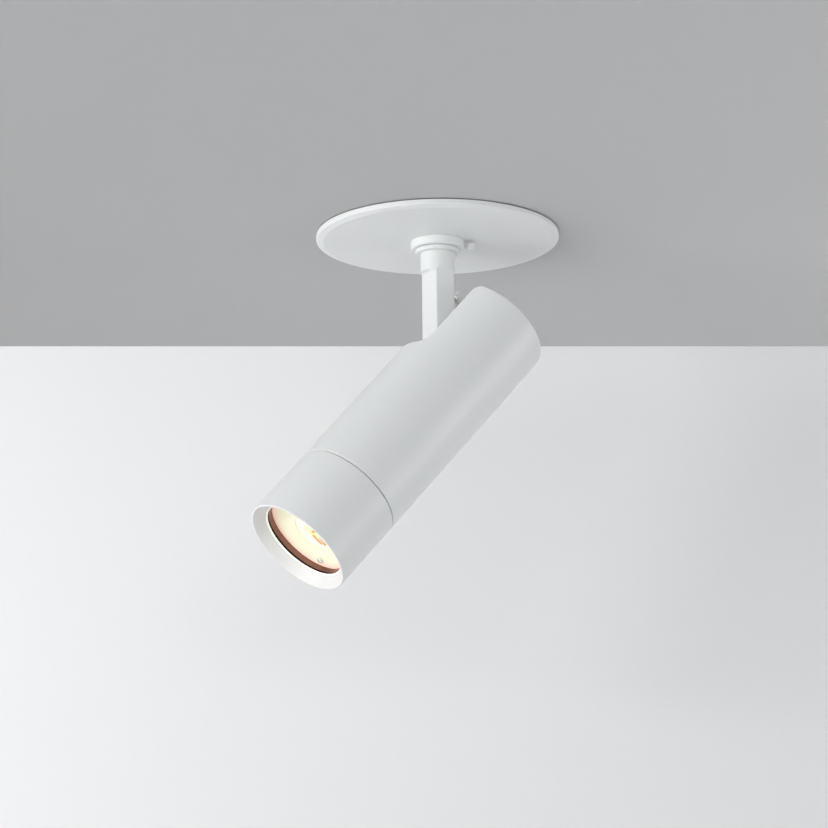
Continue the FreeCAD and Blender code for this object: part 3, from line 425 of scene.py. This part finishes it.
def drawn_line(name, points):
    """Draws a line of (x, z) points, extruded from one vertex, and stays in edit mode."""
    bpy.ops.object.select_all(action="DESELECT")
    bpy.ops.mesh.primitive_plane_add(size=MM)
    piece = bpy.context.object
    piece.name = name
    bpy.ops.object.mode_set(mode="EDIT")
    bpy.ops.mesh.select_mode(type="VERT")
    bpy.ops.mesh.select_all(action="SELECT")
    bpy.ops.mesh.merge(type="CENTER")
    x, z = points[0]
    bpy.ops.transform.translate(value=(x * MM, 0, z * MM))
    for start, end in zip(points, points[1:]):
        step = ((end[0] - start[0]) * MM, 0, (end[1] - start[1]) * MM)
        bpy.ops.mesh.extrude_vertices_move(TRANSFORM_OT_translate={"value": step})
    bpy.ops.mesh.select_all(action="SELECT")
    return piece


def turned(name, outline, steps=64):
    """Spins an outline of (radius, height) points about the Z axis."""
    piece = drawn_line(name, outline)
    bpy.ops.mesh.spin(steps=steps, angle=math.tau, center=(0, 0, 0), axis=(0, 0, 1))
    bpy.ops.mesh.select_all(action="SELECT")
    bpy.ops.mesh.remove_doubles(threshold=0.01 * MM)
    bpy.ops.mesh.normals_make_consistent(inside=False)
    bpy.ops.object.mode_set(mode="OBJECT")
    return smooth(piece)


def prism(sides, radius, low, high, x=0.0, y=0.0):
    bpy.ops.object.select_all(action="DESELECT")
    bpy.ops.mesh.primitive_cylinder_add(vertices=sides, radius=radius * MM, depth=(high - low) * MM,
                                        location=(x * MM, y * MM, (low + high) / 2 * MM))
    bpy.ops.object.transform_apply(location=True, rotation=True, scale=True)
    return bpy.context.object


def bar(x0, x1, y0, y1, z0, z1):
    middle = ((x0 + x1) / 2 * MM, (y0 + y1) / 2 * MM, (z0 + z1) / 2 * MM)
    sides = ((x1 - x0) * MM, (y1 - y0) * MM, (z1 - z0) * MM)
    bpy.ops.object.select_all(action="DESELECT")
    bpy.ops.mesh.primitive_cube_add(size=1, location=middle, scale=sides)
    bpy.ops.object.transform_apply(location=True, rotation=True, scale=True)
    return bpy.context.object


def joined_with(piece, tool, operation):
    """Cuts, joins or keeps what two shapes share, and deletes the tool shape."""
    finish_with(piece, "BOOLEAN", object=tool, operation=operation, solver="EXACT")
    bpy.data.objects.remove(tool)
    return smooth(piece)


def cut(piece, tool):
    return joined_with(piece, tool, "DIFFERENCE")


# Shares of the pitch, or of the shank's radius, in a thread and a screw
CREST_SHARE = 0.42
RIDGE_SHARE = 0.84
ROOT_SHARE = 0.5
TIP_SHARE = 0.35
THREAD_STEPS = 18
SHANK_STEPS = 40


def threaded(piece, radius, pitch, low, high):
    """Winds a thread of this outer radius round a shank."""
    root = radius - pitch
    turns = max(1, int((high - low) / pitch) - 1)
    ridge = drawn_line("thread", [(root, low), (radius, low + pitch * CREST_SHARE),
                                  (root, low + pitch * RIDGE_SHARE)])
    bpy.ops.mesh.edge_face_add()
    bpy.ops.mesh.delete(type="ONLY_FACE")
    bpy.ops.object.mode_set(mode="OBJECT")
    finish_with(ridge, "SCREW", axis="Z", screw_offset=pitch * MM, iterations=turns,
                steps=THREAD_STEPS, render_steps=THREAD_STEPS)
    bpy.ops.object.mode_set(mode="EDIT")
    bpy.ops.mesh.select_all(action="SELECT")
    bpy.ops.mesh.fill_holes(sides=3)
    bpy.ops.mesh.select_all(action="SELECT")
    bpy.ops.mesh.normals_make_consistent(inside=False)
    bpy.ops.object.mode_set(mode="OBJECT")
    return joined_with(piece, ridge, "UNION")


def screw(name, head, shank_r, length, recess, thread_pitch=0.5, thread_length=8.0):
    """A screw whose head sits on height 0. The head is an outline, the recess a six-sided socket."""
    core_r = shank_r - thread_pitch * ROOT_SHARE
    tip = shank_r * TIP_SHARE
    thread_top = thread_length - length
    shank = [(0, -length), (core_r - tip, -length), (core_r, -length + tip), (core_r, thread_top),
             (shank_r, thread_top + tip), (shank_r, 0)]
    piece = turned(name, shank + head + [(0, head[-1][1])], SHANK_STEPS)
    threaded(piece, shank_r, thread_pitch, -length + tip, thread_top)
    socket_r, depth = recess
    if depth:
        top = head[-1][1]
        cut(piece, prism(6, socket_r, top - depth, top + depth))
    return piece


def slotted(piece, radius, top, width, depth):
    """Cuts a driver slot across a screw's head."""
    reach = radius + width
    return cut(piece, bar(-reach, reach, -width / 2, width / 2, top - depth, top + depth))


# Shares of a nut's own sizes, and the steps of its turned form
NUT_FACE_SHARE = 0.97
NUT_REACH_SHARE = 1.1
NUT_CHAMFER_SLOPE = 0.6
NUT_OVERRUN_SHARE = 0.1
NUT_SINK_SHARE = 0.18
NUT_STEPS = 50


def nut(name, flats_r, height, bore_r):
    """A hexagon with chamfered corners and a countersunk bore."""
    corner_r = flats_r / math.cos(math.pi / 6)
    face_r = flats_r * NUT_FACE_SHARE
    reach_r = corner_r * NUT_REACH_SHARE
    drop = (reach_r - face_r) * NUT_CHAMFER_SLOPE
    over = height * NUT_OVERRUN_SHARE
    sink = bore_r * NUT_SINK_SHARE
    outline = [(bore_r, sink), (bore_r + sink, 0), (face_r, 0), (reach_r, drop), (reach_r, height - drop),
               (face_r, height), (bore_r + sink, height), (bore_r, height - sink), (bore_r, sink)]
    piece = turned(name, outline, NUT_STEPS)
    return joined_with(piece, prism(6, corner_r, -over, height + over), "INTERSECT")


# Places on the upright head, in mm from the tilt pin
AXIS_X = HEAD_AXIS_X / MM
CAP_SEAT_Z = 32.0
CAP_SCREW_X, CAP_SCREW_Y = 25.0, 10.0
STOP_Z = 26.2
STOP_SEAT_X = -11.5
TIE_SEAT_Z = -6.6
TIE_CIRCLE_R = 15.0
TIE_ANGLES = (-80.0, 0.0, 80.0)
DISH_SCREW_CIRCLE_R = 17.0
DISH_SCREW_SEAT_Z = -108.28
DISH_SCREW_ANGLES = (38.8, 218.8)
DISH_HOLE_R = 0.95
DISH_HOLE_LOW_Z, DISH_HOLE_HIGH_Z = -110, -105
DISC_SEAT_X = -11
SLEEVE_SEAT_X = 5.5
PIN_SEAT_Y = 12.8
WIRE_HOLE_X, WIRE_HOLE_Z = 7.9, 14.0
STRIP_SEAT_Z = -106.5
STRIP_ANGLES = (0.0, 270.0)
STRIP_HALF_WIDTH = 0.75
STRIP_THICKNESS = 0.3


def cap_screws():
    head = [(2.55, 0), (2.8, 0.25), (2.8, 1.05), (2.65, 1.35), (2.3, 1.5)]
    piece = screw("cap_screw", head, shank_r=1.45, length=10.5, recess=(1.3, 0.8))
    fit(piece, "cap_screws",
        [HANG @ at(CAP_SCREW_X, side * CAP_SCREW_Y, CAP_SEAT_Z) for side in (-1, 1)])


def stop_screw():
    head = [(1.9, 0), (1.9, 0.8), (2.95, 0.8), (3.1, 0.95), (3.1, 1.35), (2.98, 1.62), (2.7, 1.77),
            (2.3, 1.8)]
    piece = screw("stop_screw_turned", head, shank_r=1.2, length=22.9, recess=(1.1, 0.8),
                  thread_pitch=0.45, thread_length=7.0)
    fit(piece, "stop_screw", [HANG @ at(STOP_SEAT_X, 0, STOP_Z) @ TOP_TO_REAR])


def tie_screws():
    head = [(2.5, 0), (2.75, 0.2), (2.75, 2.2), (2.6, 2.5), (2.2, 2.6)]
    piece = screw("tie_screw", head, shank_r=1.45, length=47.4, recess=(1.3, 1.3),
                  thread_pitch=0.5, thread_length=9.0)
    fit(piece, "tie_screws", [HANG @ swung(angle, AXIS_X) @ at(AXIS_X + TIE_CIRCLE_R, 0, TIE_SEAT_Z)
                              for angle in TIE_ANGLES])


def dish_screws():
    head = [(1.45, 0), (1.6, 0.15), (1.55, 0.5), (1.3, 0.78), (0.9, 0.9)]
    piece = screw("dish_screw", head, shank_r=0.85, length=6.8, recess=(0, 0),
                  thread_pitch=0.3, thread_length=4.0)
    slotted(piece, radius=1.6, top=0.9, width=0.5, depth=0.45)
    seat = at(AXIS_X + DISH_SCREW_CIRCLE_R, 0, DISH_SCREW_SEAT_Z) @ TOP_TO_FRONT
    fit(piece, "dish_screws", [HANG @ swung(angle, AXIS_X) @ seat for angle in DISH_SCREW_ANGLES])


# Turned and moulded pieces of the head
def stop_sleeve():
    outline = [(1.3, 0), (1.75, 0), (2.0, 0.25), (2.0, 16.25), (1.75, 16.5), (1.3, 16.5), (1.3, 0)]
    fit(turned("stop_sleeve_turned", outline), "stop_sleeve",
        [HANG @ at(SLEEVE_SEAT_X, 0, STOP_Z) @ TOP_TO_REAR])


def stop_disc():
    outline = [(1.3, 0), (2.3, 0), (2.4, 0.1), (2.4, 0.4), (2.3, 0.5), (1.3, 0.5), (1.3, 0)]
    fit(turned("stop_disc_turned", outline), "stop_disc",
        [HANG @ at(DISC_SEAT_X, 0, STOP_Z) @ TOP_TO_REAR])


def pivot_pin():
    outline = [(0, -26.7), (2.05, -26.7), (2.45, -26.3), (2.45, 0), (4.1, 0), (4.3, 0.2), (4.3, 1.6),
               (3.9, 2.05), (3.4, 2.2), (0, 2.2)]
    piece = turned("pivot_pin_turned", outline)
    cut(piece, prism(6, radius=1.65, low=0.8, high=3.0))
    fit(piece, "pivot_pin", [HANG @ at(0, PIN_SEAT_Y, 0) @ TOP_TO_SIDE])


# Steps of turned forms, and shares of a grommet's own sizes
RING_STEPS = 128
CHIP_STEPS = 72
HOLE_SIDES = 24
GROMMET_STEPS = 48
GROMMET_EDGE_ANGLE = 20.0
GROMMET_ROUND_SHARE = 0.14
GROMMET_MOUTH_SHARE = 1.22
LIP_CREST_SHARE = 0.85
LIP_INNER_SHARE = 0.3
LIP_OUTER_SHARE = 0.45
LIP_SIDE_SHARE = 0.5


def grommet(name, neck_r, lip_r, lip, panel, bore_r):
    """A rubber grommet that grips a panel: two rolled lips, a groove, and a bore that widens outwards."""
    mouth_r = bore_r * GROMMET_MOUTH_SHARE
    inner_r = mouth_r + lip * LIP_INNER_SHARE
    outer_r = lip_r - lip * LIP_OUTER_SHARE
    crest = lip * LIP_CREST_SHARE
    side = lip * LIP_SIDE_SHARE
    top = panel + lip
    outline = [(bore_r, 0), (mouth_r, -crest), (inner_r, -lip), (outer_r, -lip), (lip_r, -side), (lip_r, 0),
               (neck_r, 0), (neck_r, panel), (lip_r, panel), (lip_r, panel + side), (outer_r, top),
               (inner_r, top), (mouth_r, panel + crest), (bore_r, panel), (bore_r, 0)]
    return eased(turned(name, outline, GROMMET_STEPS), min(lip, neck_r) * GROMMET_ROUND_SHARE,
                 degrees=GROMMET_EDGE_ANGLE)


def wire_grommet():
    piece = grommet("wire_grommet_moulded", neck_r=3.0, lip_r=4.2, lip=0.8, panel=2.4, bore_r=1.8)
    fit(piece, "wire_grommet", [HANG @ at(WIRE_HOLE_X, 0, WIRE_HOLE_Z) @ TOP_TO_REAR])


def copper_ring():
    outline = [(20.2, -111.8), (20.5, -112.1), (21.2, -112.1), (21.4, -111.9), (21.4, -108.75),
               (21.3, -108.65), (20.35, -108.65), (20.2, -108.8), (20.2, -111.8)]
    fit(turned("copper_ring_spun", outline, RING_STEPS), "copper_ring", [HANG @ at(AXIS_X, 0, 0)])


def reflector_dish():
    """A shallow spun dish: its face dips in a curve from the rolled rim to the hole for the chip."""
    rim_r, hole_r = 20.1, 9.4
    rim_z, low_z, back_z = -108.6, -106.9, -106.4
    steps = 10
    fullness = 0.9
    face = []
    for step in range(steps + 1):
        share = step / steps
        radius = rim_r + (hole_r - rim_r) * share
        face.append((radius, rim_z + (low_z - rim_z) * math.sin(share * math.pi / 2) ** fullness))
    outline = [(hole_r, back_z), (21.2, back_z), (21.2, -108.4), (21.0, rim_z), (20.3, rim_z)] + face
    outline.append((hole_r, back_z))
    piece = turned("reflector_dish_spun", outline, RING_STEPS)
    for angle in DISH_SCREW_ANGLES:
        hole = prism(HOLE_SIDES, DISH_HOLE_R, DISH_HOLE_LOW_Z, DISH_HOLE_HIGH_Z,
                     *on_circle(DISH_SCREW_CIRCLE_R, angle))
        cut(piece, hole)
    fit(piece, "reflector_dish", [HANG @ at(AXIS_X, 0, 0)])


def led_chip():
    """The lit disc lies in a low white dam on the board."""
    dam = [(3.7, -106.4), (3.8, -107.05), (4.0, -107.25), (4.25, -107.3), (4.5, -107.2), (4.6, -106.95),
           (4.6, -106.4), (3.7, -106.4)]
    disc = [(0, -106.4), (3.7, -106.4), (3.7, -107.0), (3.0, -107.1), (1.5, -107.18), (0, -107.2)]
    fit(turned("chip_dam", dam, CHIP_STEPS), "led_chip", [HANG @ at(AXIS_X, 0, 0)], dam_silicone_painted_glow)
    fit(turned("chip_disc", disc, CHIP_STEPS), "led_chip", [HANG @ at(AXIS_X, 0, 0)])


def contact_strips():
    """A thin spring strip: a foot on the board, a rise, and an arm that bows over the chip's dam."""
    line = [(8.8, -0.05), (7.7, -0.05), (7.45, -0.2), (7.25, -0.75), (6.9, -0.98), (5.6, -1.08),
            (4.2, -1.2), (2.6, -1.18), (1.3, -1.1)]
    piece = drawn_line("contact_strip", line)
    half = STRIP_HALF_WIDTH * MM
    bpy.ops.transform.translate(value=(0, -half, 0))
    bpy.ops.mesh.extrude_edges_move(TRANSFORM_OT_translate={"value": (0, half + half, 0)})
    bpy.ops.mesh.select_all(action="SELECT")
    bpy.ops.mesh.normals_make_consistent(inside=False)
    bpy.ops.object.mode_set(mode="OBJECT")
    finish_with(piece, "SOLIDIFY", thickness=STRIP_THICKNESS * MM, offset=0.0)
    eased(piece, width=0.07)
    seat = at(AXIS_X, 0, STRIP_SEAT_Z)
    fit(piece, "contact_strips", [HANG @ swung(angle, AXIS_X) @ seat for angle in STRIP_ANGLES])


# Painted and machined pieces keep the solid's form and get broken edges, with these widths in mm
EDGES_BROKEN = (
    ("stem", "stem_blasted", 0.15),
    ("lock_lever", "lock_lever_blasted", 0.25),
    ("collar", "collar_blasted", 0.25),
    ("rear_cap", "rear_cap_blasted", 0.25),
    ("head_housing", "head_housing_blasted", 0.2),
    ("heat_sink", "heat_sink_machined", 0.15),
    ("terminal_block", "terminal_block_moulded", 0.25),
    ("pan_stop_washer", "pan_stop_washer_stamped", 0.12),
    ("swivel_bush", "swivel_bush_moulded", 0.15),
)
SAME_POINT = 0.002
SAME_PLANE = math.radians(1.0)
SHARP_EDGE = 30.0


def eased_copy(node, name, width):
    """A copy of a node's solid whose sharp edges are rounded, as blasting and paint leave them."""
    piece = bpy.data.objects.new(name, nodes[node].data.copy())
    bpy.context.scene.collection.objects.link(piece)
    only(piece)
    bpy.ops.mesh.customdata_custom_splitnormals_clear()
    bpy.ops.object.mode_set(mode="EDIT")
    bpy.ops.mesh.select_mode(type="VERT")
    bpy.ops.mesh.select_all(action="SELECT")
    bpy.ops.mesh.remove_doubles(threshold=SAME_POINT * MM)
    bpy.ops.mesh.dissolve_limited(angle_limit=SAME_PLANE)
    bpy.ops.mesh.normals_make_consistent(inside=False)
    bpy.ops.object.mode_set(mode="OBJECT")
    eased(piece, width, degrees=SHARP_EDGE)
    finish_with(piece, "WEIGHTED_NORMAL", keep_sharp=True)
    fit(piece, node)


def broken_edges():
    for node, name, width in EDGES_BROKEN:
        eased_copy(node, name, width)


# Pieces above the ceiling, with heights in mm from the ceiling's face
STUD_CIRCLE_R = 24.0
STUD_ANGLES = (75.0, 180.0, 285.0)
STUD_PLACES = [swung(angle) @ at(STUD_CIRCLE_R, 0, 0) for angle in STUD_ANGLES]
STUD_HOLE_R = 1.7
CAN_SKIN_R = 34.0
CAN_INSIDE_R = 32.8
CAN_BORE_R = 6.45
CAN_UNDER_Z = -0.35
CAN_FLOOR_Z = 1.15
BEAD = [(0, 19.0), (-0.45, 20.0), (-0.45, 21.5), (0, 22.5)]
INLET_X = -14.0
INLET_HOLE_R = 5.2
LID_SEAT_Z = 40.0
LID_TOP_Z = 41.2
LID_RING_DEPTH = 0.4
SKIRT_LOW_Z = 36.0
BLADE_ANGLES = (60.0, 180.0, 300.0)
BLADE_TOP_Z = 37.0
BLADE_BOW_Z = 29.0
BLADE_KNEE_Z = 14.0
BLADE_TOE_Z = 5.0
BLADE_BOW_OUT = 4.0
BLADE_TOE_IN = 2.1
BLADE_WIDTH = 10.0
BLADE_THICKNESS = 0.4
BLADE_GAP = 0.3
RIVET_X, RIVET_Z = 31.9, 33.0
STEM_NUT_Z = 4.05
NUT_TURN = 30.0
WAVE_SEAT_Z = 3.25
WAVES = 3
WAVE_STEPS = 96
WAVE_SWING = 0.25


def mounting_can():
    """Drawn steel can: a bent bottom edge, one pressed bead in both skins and a rolled rim."""
    outside, inside = CAN_SKIN_R, CAN_INSIDE_R
    bottom = [(CAN_BORE_R, CAN_UNDER_Z), (33.0, CAN_UNDER_Z), (33.7, -0.1), (outside, 0.6)]
    rim = [(outside, 39.7), (33.75, LID_SEAT_Z), (33.05, LID_SEAT_Z), (inside, 39.7)]
    floor = [(inside, 2.0), (32.2, 1.3), (31.6, CAN_FLOOR_Z), (CAN_BORE_R, CAN_FLOOR_Z)]
    bead_outside = [(outside + dip, height) for dip, height in BEAD]
    bead_inside = [(inside + dip, height) for dip, height in reversed(BEAD)]
    outline = bottom + bead_outside + rim + bead_inside + floor + bottom[:1]
    piece = turned("mounting_can_drawn", outline, RING_STEPS)
    for angle in STUD_ANGLES:
        cut(piece, prism(HOLE_SIDES, STUD_HOLE_R, -1, 2, *on_circle(STUD_CIRCLE_R, angle)))
    fit(piece, "mounting_can")


def can_lid():
    """Pressed lid: a sunk ring stiffens it and a skirt holds it in the can."""
    low, top = LID_SEAT_Z, LID_TOP_Z
    sunk_low, sunk_top = low - LID_RING_DEPTH, top - LID_RING_DEPTH
    under = [(0, low), (24.0, low), (24.4, sunk_low), (28.6, sunk_low), (29.0, low)]
    skirt = [(31.45, low), (31.45, SKIRT_LOW_Z), (32.65, SKIRT_LOW_Z), (32.65, low)]
    rim = [(33.8, low), (CAN_SKIN_R, 40.2), (CAN_SKIN_R, 40.9), (33.7, top)]
    face = [(29.3, top), (28.8, sunk_top), (24.2, sunk_top), (23.7, top), (0, top)]
    piece = turned("can_lid_pressed", under + skirt + rim + face, RING_STEPS)
    cut(piece, prism(GROMMET_STEPS, INLET_HOLE_R, LID_SEAT_Z - 1, LID_SEAT_Z + 2, INLET_X))
    fit(piece, "can_lid")


def cable_grommet():
    piece = grommet("cable_grommet_moulded", neck_r=5.2, lip_r=6.5, lip=1.4, panel=1.2, bore_r=3.5)
    fit(piece, "cable_grommet", [at(INLET_X, 0, LID_SEAT_Z)])


def retaining_blades():
    """Spring strip: flat on the can, then a bow that grips the ceiling's edge, and a turned-in toe."""
    line = [(CAN_SKIN_R, BLADE_TOP_Z), (CAN_SKIN_R, BLADE_BOW_Z)]
    bow_fall = BLADE_BOW_Z - BLADE_KNEE_Z
    toe_fall = BLADE_KNEE_Z - BLADE_TOE_Z
    knee_r = CAN_SKIN_R + BLADE_BOW_OUT
    parts = 9
    for part in range(1, parts + 1):
        share = part / parts
        bow = BLADE_BOW_OUT / 2 * (1 - math.cos(math.pi * share))
        line.append((CAN_SKIN_R + bow, BLADE_BOW_Z - bow_fall * share))
    for part in range(1, parts + 1):
        share = part / parts
        line.append((knee_r - BLADE_TOE_IN * share * share, BLADE_KNEE_Z - toe_fall * share))
    piece = drawn_line("retaining_blade", line)
    bpy.ops.transform.translate(value=(BLADE_GAP * MM, -BLADE_WIDTH / 2 * MM, 0))
    bpy.ops.mesh.extrude_edges_move(TRANSFORM_OT_translate={"value": (0, BLADE_WIDTH * MM, 0)})
    bpy.ops.object.mode_set(mode="OBJECT")
    finish_with(piece, "SOLIDIFY", thickness=BLADE_THICKNESS * MM, offset=0.0)
    eased(piece, width=0.12)
    fit(piece, "retaining_blades", [swung(angle) for angle in BLADE_ANGLES])


def blade_rivets():
    outline = [(0, 0.05), (2.6, 0.05), (2.6, 0.9), (1.45, 0.9), (1.45, 2.6), (2.45, 2.6), (2.6, 2.7),
               (2.5, 3.0), (2.1, 3.3), (1.4, 3.47), (0, 3.5)]
    piece = turned("blade_rivet", outline, SHANK_STEPS)
    seat = at(RIVET_X, 0, RIVET_Z) @ TOP_TO_OUTSIDE
    fit(piece, "blade_rivets", [swung(angle) @ seat for angle in BLADE_ANGLES])


def gasket_ring():
    outline = [(46.4, -0.3), (46.45, -0.35), (53.35, -0.35), (53.4, -0.3), (53.4, -0.05), (53.35, 0),
               (46.45, 0), (46.4, -0.05), (46.4, -0.3)]
    fit(turned("gasket_ring_pressed", outline, RING_STEPS), "gasket_ring")


def plate_studs():
    outline = [(0, -0.35), (1.5, -0.35), (1.5, 0.4), (1.25, 0.65), (1.25, 6.7), (0.95, 7.0), (0, 7.0)]
    piece = turned("plate_stud", outline, SHANK_STEPS)
    threaded(piece, radius=1.5, pitch=0.5, low=0.6, high=6.9)
    fit(piece, "plate_studs", STUD_PLACES)


def stud_nuts():
    piece = nut("stud_nut", flats_r=2.75, height=2.4, bore_r=1.55)
    seat = at(0, 0, CAN_FLOOR_Z) @ swung(NUT_TURN)
    fit(piece, "stud_nuts", [place @ seat for place in STUD_PLACES])


def stem_nut():
    piece = nut("stem_nut_chamfered", flats_r=8.0, height=4.0, bore_r=5.0)
    fit(piece, "stem_nut", [at(0, 0, STEM_NUT_Z) @ swung(NUT_TURN)])


def wave_washer():
    """Spring steel ring pressed into three waves."""
    outline = [(5.1, 0), (8.0, 0), (8.0, 0.3), (5.1, 0.3), (5.1, 0)]
    piece = turned("wave_washer_pressed", outline, WAVE_STEPS)
    for corner in piece.data.vertices:
        angle = math.atan2(corner.co.y, corner.co.x)
        corner.co.z += WAVE_SWING * MM * (1 + math.sin(WAVES * angle))
    fit(piece, "wave_washer", [at(0, 0, WAVE_SEAT_Z)])


PIECES = (cap_screws, stop_screw, tie_screws, dish_screws, stop_sleeve, stop_disc, pivot_pin,
          wire_grommet, copper_ring, reflector_dish, led_chip, contact_strips, mounting_can, can_lid,
          cable_grommet, retaining_blades, blade_rivets, gasket_ring, plate_studs, stud_nuts, stem_nut,
          wave_washer, broken_edges)
for make_piece in PIECES:
    make_piece()


# Room, camera and lights
def one_sided(name, left_tone_with_painted_light, right_tone_with_painted_light):
    """A surface seen from the room, open to a view from outside it. Painted light: its tone goes from left
    to right, as the room's light falls on it.
    """
    material, tree, skin = material_tree(name)
    socket_names(skin, {"Roughness": 0.9, "Specular IOR Level": 0.1})
    place = make(tree, "ShaderNodeTexCoord")
    level = make(tree, "ShaderNodeMapping", {"vector_type": "POINT"}, {"Rotation": (0, 0, ROOM_TURN)})
    parts = make(tree, "ShaderNodeSeparateXYZ")
    share = make(tree, "ShaderNodeMapRange",
                 values={"From Min": -PAINTED_LIGHT_REACH, "From Max": PAINTED_LIGHT_REACH})
    drift = make(tree, "ShaderNodeMix", {"data_type": "RGBA"},
                 {"A": (*left_tone_with_painted_light, 1), "B": (*right_tone_with_painted_light, 1)})
    join(tree, place.outputs["Object"], level.inputs["Vector"])
    join(tree, level.outputs["Vector"], parts.inputs["Vector"])
    join(tree, parts.outputs["X"], share.inputs["Value"])
    join(tree, share.outputs["Result"], drift.inputs["Factor"])
    join(tree, drift.outputs["Result"], skin.inputs["Base Color"])
    side = make(tree, "ShaderNodeNewGeometry")
    clear = make(tree, "ShaderNodeBsdfTransparent")
    choose = make(tree, "ShaderNodeMixShader")
    join(tree, side.outputs["Backfacing"], choose.inputs["Fac"])
    join(tree, skin.outputs["BSDF"], choose.inputs[1])
    join(tree, clear.outputs["BSDF"], choose.inputs[2])
    join(tree, choose.outputs["Shader"], tree.nodes["Material Output"].inputs["Surface"])
    return material


def paler_to_the_camera(material):
    """The camera sees the floor's paint, with the object's shadow, mixed with a pale backdrop."""
    tree = material.node_tree
    last = tree.nodes["Material Output"].inputs["Surface"]
    backdrop = make(tree, "ShaderNodeEmission", values={"Color": BACKDROP_TONE, "Strength": 1.0})
    path = make(tree, "ShaderNodeLightPath")
    part = make(tree, "ShaderNodeMath", {"operation": "MULTIPLY"})
    part.inputs[1].default_value = BACKDROP_SHARE
    choose = make(tree, "ShaderNodeMixShader")
    join(tree, path.outputs["Is Camera Ray"], part.inputs[0])
    join(tree, part.outputs["Value"], choose.inputs["Fac"])
    join(tree, last.links[0].from_socket, choose.inputs[1])
    join(tree, backdrop.outputs["Emission"], choose.inputs[2])
    join(tree, choose.outputs["Shader"], last)


def stage_mesh(name, points, faces, material):
    mesh = bpy.data.meshes.new(name)
    mesh.from_pydata(points, [], faces)
    mesh.materials.append(material)
    thing = bpy.data.objects.new(name, mesh)
    bpy.context.scene.collection.objects.link(thing)


def ceiling():
    """A large square sheet with a round hole above the plate."""
    steps = HOLE_STEPS
    ring = []
    for step in range(steps):
        angle = math.tau * step / steps
        ring.append((CEILING_HOLE_R * math.cos(angle), CEILING_HOLE_R * math.sin(angle), CEILING_Z))
    square = []
    for x, y, z in ring:
        grow = ROOM_REACH / max(abs(x), abs(y))
        square.append((x * grow, y * grow, z))
    faces = [(k, (k + 1) % steps, steps + (k + 1) % steps, steps + k) for k in range(steps)]
    stage_mesh("ceiling", ring + square, faces, one_sided("ceiling_paint_with_painted_light", *CEILING_PAINTED_LIGHT_TONES))


def wall_and_floor():
    reach = ROOM_REACH
    nx, ny = WALL_NORMAL
    mid = Vector((nx * WALL_GAP, ny * WALL_GAP, 0))
    along = Vector((ny, -nx, 0)) * reach
    low = Vector((0, 0, FLOOR_Z))
    wall = [mid - along, mid + along, mid + along + low, mid - along + low]
    stage_mesh("wall", wall, [(0, 3, 2, 1)], one_sided("wall_paint_with_painted_light", *WALL_PAINTED_LIGHT_TONES))
    floor = [(-reach, -reach, FLOOR_Z), (reach, -reach, FLOOR_Z),
             (reach, reach, FLOOR_Z), (-reach, reach, FLOOR_Z)]
    paint = one_sided("floor_paint", *FLOOR_TONES)
    paler_to_the_camera(paint)
    stage_mesh("floor", floor, [(0, 1, 2, 3)], paint)


def soft_panel(name, place, size, power):
    data = bpy.data.lights.new(name, "AREA")
    data.shape = "RECTANGLE"
    data.size, data.size_y = size
    data.energy = power
    lamp = bpy.data.objects.new(name, data)
    lamp.location = place
    lamp.rotation_mode = "QUATERNION"
    lamp.rotation_quaternion = (Vector(LIGHT_AIM) - Vector(place)).to_track_quat("-Z", "Y")
    bpy.context.scene.collection.objects.link(lamp)


def camera_of_the_photo():
    data = bpy.data.cameras.new("photo_camera")
    data.lens = CAMERA_LENS
    data.sensor_width = SENSOR_WIDTH
    data.clip_start = CLIP_NEAR
    data.clip_end = CLIP_FAR
    camera = bpy.data.objects.new("photo_camera", data)
    camera.location = CAMERA_PLACE
    camera.rotation_mode = "QUATERNION"
    look = Vector(CAMERA_LOOK)
    up = Vector(CAMERA_UP)
    turn = Matrix((look.cross(up), up, -look)).transposed()
    camera.rotation_quaternion = turn.to_quaternion()
    bpy.context.scene.collection.objects.link(camera)
    bpy.context.scene.camera = camera


def pale_world():
    """A low even sky lights the object, and a pale backdrop is what eye, mirror and glass see."""
    world = bpy.data.worlds.new("pale_world")
    bpy.context.scene.world = world
    world.use_nodes = True
    tree = world.node_tree
    light = tree.nodes["Background"]
    socket_names(light, {"Color": SKY_TONE, "Strength": SKY_STRENGTH})
    seen = make(tree, "ShaderNodeBackground", values={"Color": BACKDROP_TONE, "Strength": 1.0})
    path = make(tree, "ShaderNodeLightPath")
    mirrored = make(tree, "ShaderNodeMath", {"operation": "MAXIMUM"})
    seen_at_all = make(tree, "ShaderNodeMath", {"operation": "MAXIMUM"})
    choose = make(tree, "ShaderNodeMixShader")
    join(tree, path.outputs["Is Camera Ray"], mirrored.inputs[0])
    join(tree, path.outputs["Is Glossy Ray"], mirrored.inputs[1])
    join(tree, mirrored.outputs["Value"], seen_at_all.inputs[0])
    join(tree, path.outputs["Is Transmission Ray"], seen_at_all.inputs[1])
    join(tree, seen_at_all.outputs["Value"], choose.inputs["Fac"])
    join(tree, light.outputs["Background"], choose.inputs[1])
    join(tree, seen.outputs["Background"], choose.inputs[2])
    join(tree, choose.outputs["Shader"], tree.nodes["World Output"].inputs["Surface"])


bpy.context.scene.view_settings.view_transform = "Standard"
ceiling()
wall_and_floor()
pale_world()
camera_of_the_photo()
for panel in PANELS:
    soft_panel(*panel)
